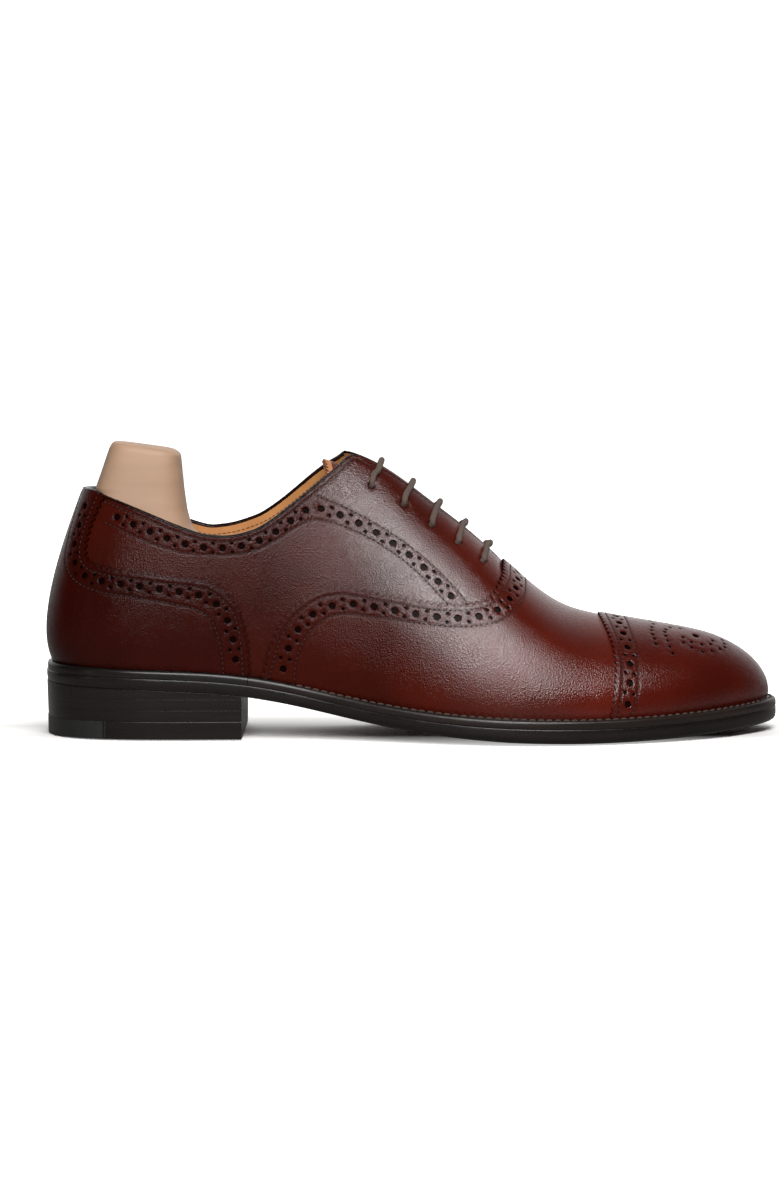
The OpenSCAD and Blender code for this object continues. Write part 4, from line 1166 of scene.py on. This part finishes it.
def welt_stitching():
    """Thick lockstitches sunk into the top of the welt."""
    ts = np.linspace(5.2, 17, 1200)
    ts = np.concatenate([ts, -ts[::-1][1:]])
    p = plan(ts, margin(0.5, 0), above(0.02))
    run = run_of(p)
    count = int(run[-1] / WELT_STITCH_PITCH)
    mesh = Mesh()
    for k in np.interp((np.arange(count) + 0.5) / count * run[-1], run, np.arange(len(ts))).astype(int):
        d = unit(p[min(k + 3, len(p) - 1)] - p[max(k - 3, 0)])
        stitch(mesh, p[k], d, np.array([0, 0, 1.0]), 2.7, WELT_STITCH, sides=8, slant=0.5)
    mesh.place("welt_stitching", [WELT_THREAD], piece=False)


def outsole():
    def between(share):
        return lambda t: tread(t) + (seat(t) - 0.3 - WELT - tread(t)) * share

    # Margin, narrowing toward the toe, and share of the sole's thickness.
    profile = [(-3, 0, 1), (-0.03, 0, 1), (0.08, 0, 0.94), (0.1, 0, 0.7), (0.1, 0, 0.5), (-0.05, 0, 0.3),
               (-0.2, 0.5, 0.14), (-0.3, 1.4, 0.04), (-0.4, 3.4, 0)]
    ts = spread(-17, 60, -15, 130, -2, 60, 2, 130, 15, 60, 17)[:-1]
    mesh = Mesh()
    rings = [plan(ts, margin(1, plus, front), between(share)) for plus, front, share in profile]
    mesh.grid(rings, closed=True)
    across(mesh, FRONT_HALF, margin(1, -0.4, 3.4), tread, 1)
    across(mesh, FRONT_HALF, margin(1, -3), between(1), 1, flip=True)
    mesh.place("outsole", [SOLE_EDGE, SOLE_BOTTOM])


def slab(mesh, top, low, inset_top, inset_low, first=None, last=HEEL_END, rounded=0.012):
    """A slab of the heel between two heights; first is the station of its back when it has one."""
    edge = 2 * rounded + 0.03
    profile = [(inset_top - rounded, top, 0), (inset_top, top, -rounded), (inset_top, top, -edge),
               (inset_low, low, edge), (inset_low, low, rounded), (inset_low - rounded, low, 0)]

    def row(t, k):
        inset, height, plus = profile[k]
        return plan(t, margin(1, inset), lambda v: height(v) + plus)

    if first is None:
        runs = [(spread(-last, 40, -2, 59, 2, 39, last), False)]
        half = np.append(0, runs[0][0][runs[0][0] >= 0])
    else:
        half = np.linspace(first, last, 40)
        runs = [(half, False), (-half, True)]
    for ts, turn in runs:
        mesh.grid([row(ts, k) for k in range(6)], flip=turn)
    for k, turn in ((0, True), (5, False)):
        across(mesh, half, margin(1, profile[k][0]), profile[k][1], flip=turn)
    w = np.linspace(0, 1, 9)[:, None]
    for end in [last] if first is None else [first, last]:
        t = np.array([end])
        mesh.grid([row(t, k) * (1 - w) + row(-t, k) * w for k in range(6)], flip=end == last)


def heel_piece(name, look, *slabs, **ends):
    mesh = Mesh()
    for sizes in slabs:
        slab(mesh, *sizes, **ends)
    mesh.place(name, [look])


def heel():
    """The rand under the upper, then stacked lifts sanded flush, with only fine lines between them."""
    strip("heel_rand", SOLE_EDGE, spread(-4.32, 40, -2, 59, 2, 39, 4.32),
          [(0, -5, -WELT), (0, -5, 0), (0, 0, 0), (1, -1.0, 0), (1, -0.45, -0.3), (1, -0.2, -1.2),
           (1, -0.25, -WELT)])
    heel_piece("heel_seat_lift", HEEL_EDGE, (lambda t: tread(t) - 0.05, fixed(16.02), 0, -0.15))
    heel_piece("heel_lower_lifts", HEEL_EDGE, (fixed(15.98), fixed(11.51), -0.15, -0.35),
               (fixed(11.49), fixed(7.06), -0.35, -0.55))
    heel_piece("top_piece", HEEL_EDGE, (fixed(7), fixed(0), -0.5, -0.75), first=2.0, rounded=0.1)
    heel_piece("rubber_tip", RUBBER, (fixed(7), fixed(0), -0.35, -0.5), last=1.98, rounded=0.1)


def sock():
    mesh = Mesh()
    across(mesh, FRONT_HALF, margin(0, -6.2), above(3.8), flip=True)
    across(mesh, FRONT_HALF, margin(0, -6.2), above(2.95))
    mesh.place("sock_lining", [TAN])


# --- the shoe tree
# The heel block swings about its pin: x and z of the pin, radius of the block's back.
PIN_X, PIN_Z, BACK_RADIUS = 53.5, 58, 81.2
TREE_TOP, TURNED = 118.4, 3.4
# Against height: x of the back above the arc, x of the front, half width as a share.
BLOCK_BACK = ([98, 106, 114, 118.4], [-18.2, -15.4, -12.7, -11.2])
BLOCK_FRONT = ([35, 37, 42, 62, 66, 69, 72, 75, 78, 81, 84, 90, 98, 106, 112, 118.4],
               [43.5, 45, 45, 45, 43.6, 40.5, 36, 30.6, 26.2, 23.2, 21.3, 19.6, 18.4, 17.6, 17.2, 16.6])
BLOCK_HALF = ([35, 37, 42, 58, 72, 84, 98, 114, 118.4], [0.75, 0.8, 0.9, 1, 0.96, 0.88, 0.8, 0.74, 0.72])


def smooth_table(x, y):
    """Looks a table up after rounding its corners."""
    fine = np.linspace(x[0], x[-1], 400)
    kernel = np.hanning(21)
    values = np.convolve(np.pad(np.interp(fine, x, y), 10, "edge"), kernel / kernel.sum(), "valid")
    return lambda z: float(np.interp(z, fine, values))


def block_back(z):
    return PIN_X - math.sqrt(BACK_RADIUS**2 - (z - PIN_Z) ** 2) if z < 98 else np.interp(z, *BLOCK_BACK)


def rounded_square(w):
    return np.sign(w) * np.abs(w) ** 0.6


def tree_heel_block():
    rim = TREE_TOP - TURNED + TURNED * np.sin(np.linspace(0, math.pi / 2, 12))
    levels = np.concatenate([np.linspace(35, TREE_TOP - TURNED, 80), rim[1:]])
    front, half = smooth_table(*BLOCK_FRONT), smooth_table(*BLOCK_HALF)
    w = round_angles(120)[:, 0]
    rows = []
    for z in levels:
        # The top edge is turned over with a small radius; the front corner is the roundest.
        over = max(0.0, (z - TREE_TOP + TURNED) / TURNED)
        turn = 1 - math.sqrt(max(0.0, 1 - over**2))
        a, b, h = block_back(z) + 1.2 * turn, front(z) - 3.6 * turn, 20 * half(z) - 2.2 * turn
        x = (a + b) / 2 + (b - a) / 2 * rounded_square(np.cos(w))
        rows.append(np.stack([x, h * rounded_square(np.sin(w)), np.full(len(w), z)], 1))
    rows = np.array(rows)
    # The top face falls slightly towards the front, as sawn.
    share = np.clip((rows[:, :, 2] - 104) / 14.4, 0, 1)
    rows[:, :, 2] -= share * np.clip((rows[:, :, 0] + 11) / 27, 0, 1) * 3.6
    mesh = Mesh()
    mesh.grid(rows, closed=True)
    for loop, turn in ((rows[0], True), (rows[-1], False)):
        fans = [loop * k + loop.mean(0) * (1 - k) for k in (1, 0.75, 0.5, 0.25, 0.02)]
        mesh.grid(fans, closed=True, flip=turn)
    mesh.place("tree_heel_block", [WOOD], body="heel_block")


counter_cover()
vamp()
toe_cap()
for foot_side in (1, -1):
    quarter(foot_side)
    quarter_lining(foot_side)
vamp_lining()
topline_binding()
heel_stiffener()
tongue()
lace()
welt()
welt_stitching()
outsole()
heel()
sock()
tree_heel_block()

# Pieces kept as the frame has them.
for node_name, look in (("insole", BOARD), ("insole_rib", CANVAS), ("cork_filler", CORK), ("shank", STEEL),
                        ("heel_nails", BRASS), ("tree_forepart", WOOD), ("tree_hinge_fork", BRASS),
                        ("tree_hinge_pin", STEEL), ("tree_hinge_leaf", BRASS)):
    kept = frame["nodes"][node_name].data.materials
    kept.clear()
    kept.append(look)


# --- floor, light, camera
def floor():
    """White sweep: shadows show near the shoe, and it runs into plain white further off."""
    m, tree, shader = material("floor_white")
    seen = node(tree, "LightPath").outputs["Is Camera Ray"]
    put(tree, shader.inputs["Base Color"], mix(tree, (0.24, 0.23, 0.22), (0.88, 0.865, 0.85), seen))
    put(tree, shader.inputs["Roughness"], 0.7)
    put(tree, shader.inputs["Specular IOR Level"], 0.2)
    x, y, _ = axes(tree, object_coords(tree))
    # Light added for the camera only: little in the shoe's contact shadow, full far away.
    aside = maths(tree, "ABSOLUTE", maths(tree, "ADD", x, -0.11))
    apart = maths(tree, "ABSOLUTE", y)
    past_ends = scaled(tree, aside, 9.0, -9.0 * 0.17, clamp=True)
    past_sides = scaled(tree, apart, 24.0, -24.0 * 0.015, clamp=True)
    away = scaled(tree, apart, 2.0, -0.2, clamp=True)
    glow = scaled(tree, maths(tree, "MAXIMUM", past_ends, past_sides), 0.8, scaled(tree, away, 0.25))
    put(tree, shader.inputs["Emission Color"], (1, 0.995, 0.985))
    put(tree, shader.inputs["Emission Strength"], maths(tree, "MULTIPLY", seen, glow))
    # Half a millimetre under the heel and sole, so that it never shows through them.
    size, z = 6.0, -0.0005
    corners = [(-size, -size, z), (size, -size, z), (size, size, z), (-size, size, z)]
    mesh = bpy.data.meshes.new("floor")
    mesh.from_pydata(corners, [], [(0, 1, 2, 3)])
    mesh.materials.append(m)
    add_object("floor", mesh)


SHOE_MIDDLE = Vector((0.11, 0, 0.04))


def soft_box(name, azimuth, elevation, distance, size, radiance, roll=0):
    """A rectangular light aimed at the shoe; azimuth 0 is the camera's side, positive toward the toe."""
    az, el = math.radians(azimuth), math.radians(elevation)
    away = Vector((math.sin(az) * math.cos(el), -math.cos(az) * math.cos(el), math.sin(el)))
    data = bpy.data.lights.new(name, "AREA")
    data.shape = "RECTANGLE"
    data.size, data.size_y = size
    data.energy = radiance * math.pi * size[0] * size[1]
    obj = add_object(name, data)
    obj.location = SHOE_MIDDLE + away * distance
    turn = Quaternion((0, 0, 1), math.radians(roll))
    obj.rotation_euler = ((-away).to_track_quat("-Z", "Y") @ turn).to_euler()
    obj.visible_camera = False
    return obj


def world():
    """Dark room with a pale wall behind the shoe; white where the camera looks past it."""
    w = bpy.data.worlds.new("studio")
    bpy.context.scene.world = w
    w.use_nodes = True
    tree = w.node_tree
    background = tree.nodes["Background"]
    put(tree, background.inputs[0], (1, 1, 1))
    y = axes(tree, node(tree, "TexCoord").outputs["Generated"])[1]
    behind = scaled(tree, y, 1.6, -0.48, clamp=True)
    pale = scaled(tree, behind, 0.95, 0.018)
    seen = node(tree, "LightPath").outputs["Is Camera Ray"]
    put(tree, background.inputs[1], maths(tree, "ADD", seen, pale))


# Metres: how far and how high the camera stands, its place along the shoe, and the height it takes in.
CAMERA_DISTANCE, CAMERA_HEIGHT, CAMERA_X, SEEN_HEIGHT = 1.35, 0.175, 0.1028, 0.490767
SENSOR = 36


def camera():
    data = bpy.data.cameras.new("side_camera")
    data.sensor_width = SENSOR
    data.lens = SENSOR * CAMERA_DISTANCE / SEEN_HEIGHT
    data.shift_y = -0.246656
    obj = add_object("side_camera", data)
    obj.location = (CAMERA_X, -CAMERA_DISTANCE, CAMERA_HEIGHT)
    obj.rotation_euler = (math.pi / 2, 0, 0)
    bpy.context.scene.camera = obj


floor()
world()
soft_box("key", 5.6, 39.8, 1.2, (1.2, 0.36), 17.5, roll=43)
soft_box("back_fill", 172, 34, 1.5, (1.3, 0.9), 3.4).visible_glossy = False
soft_box("rim_left", -52, 8, 1.2, (0.12, 0.5), 1.0)
camera()
bpy.context.scene.view_settings.view_transform = "Standard"

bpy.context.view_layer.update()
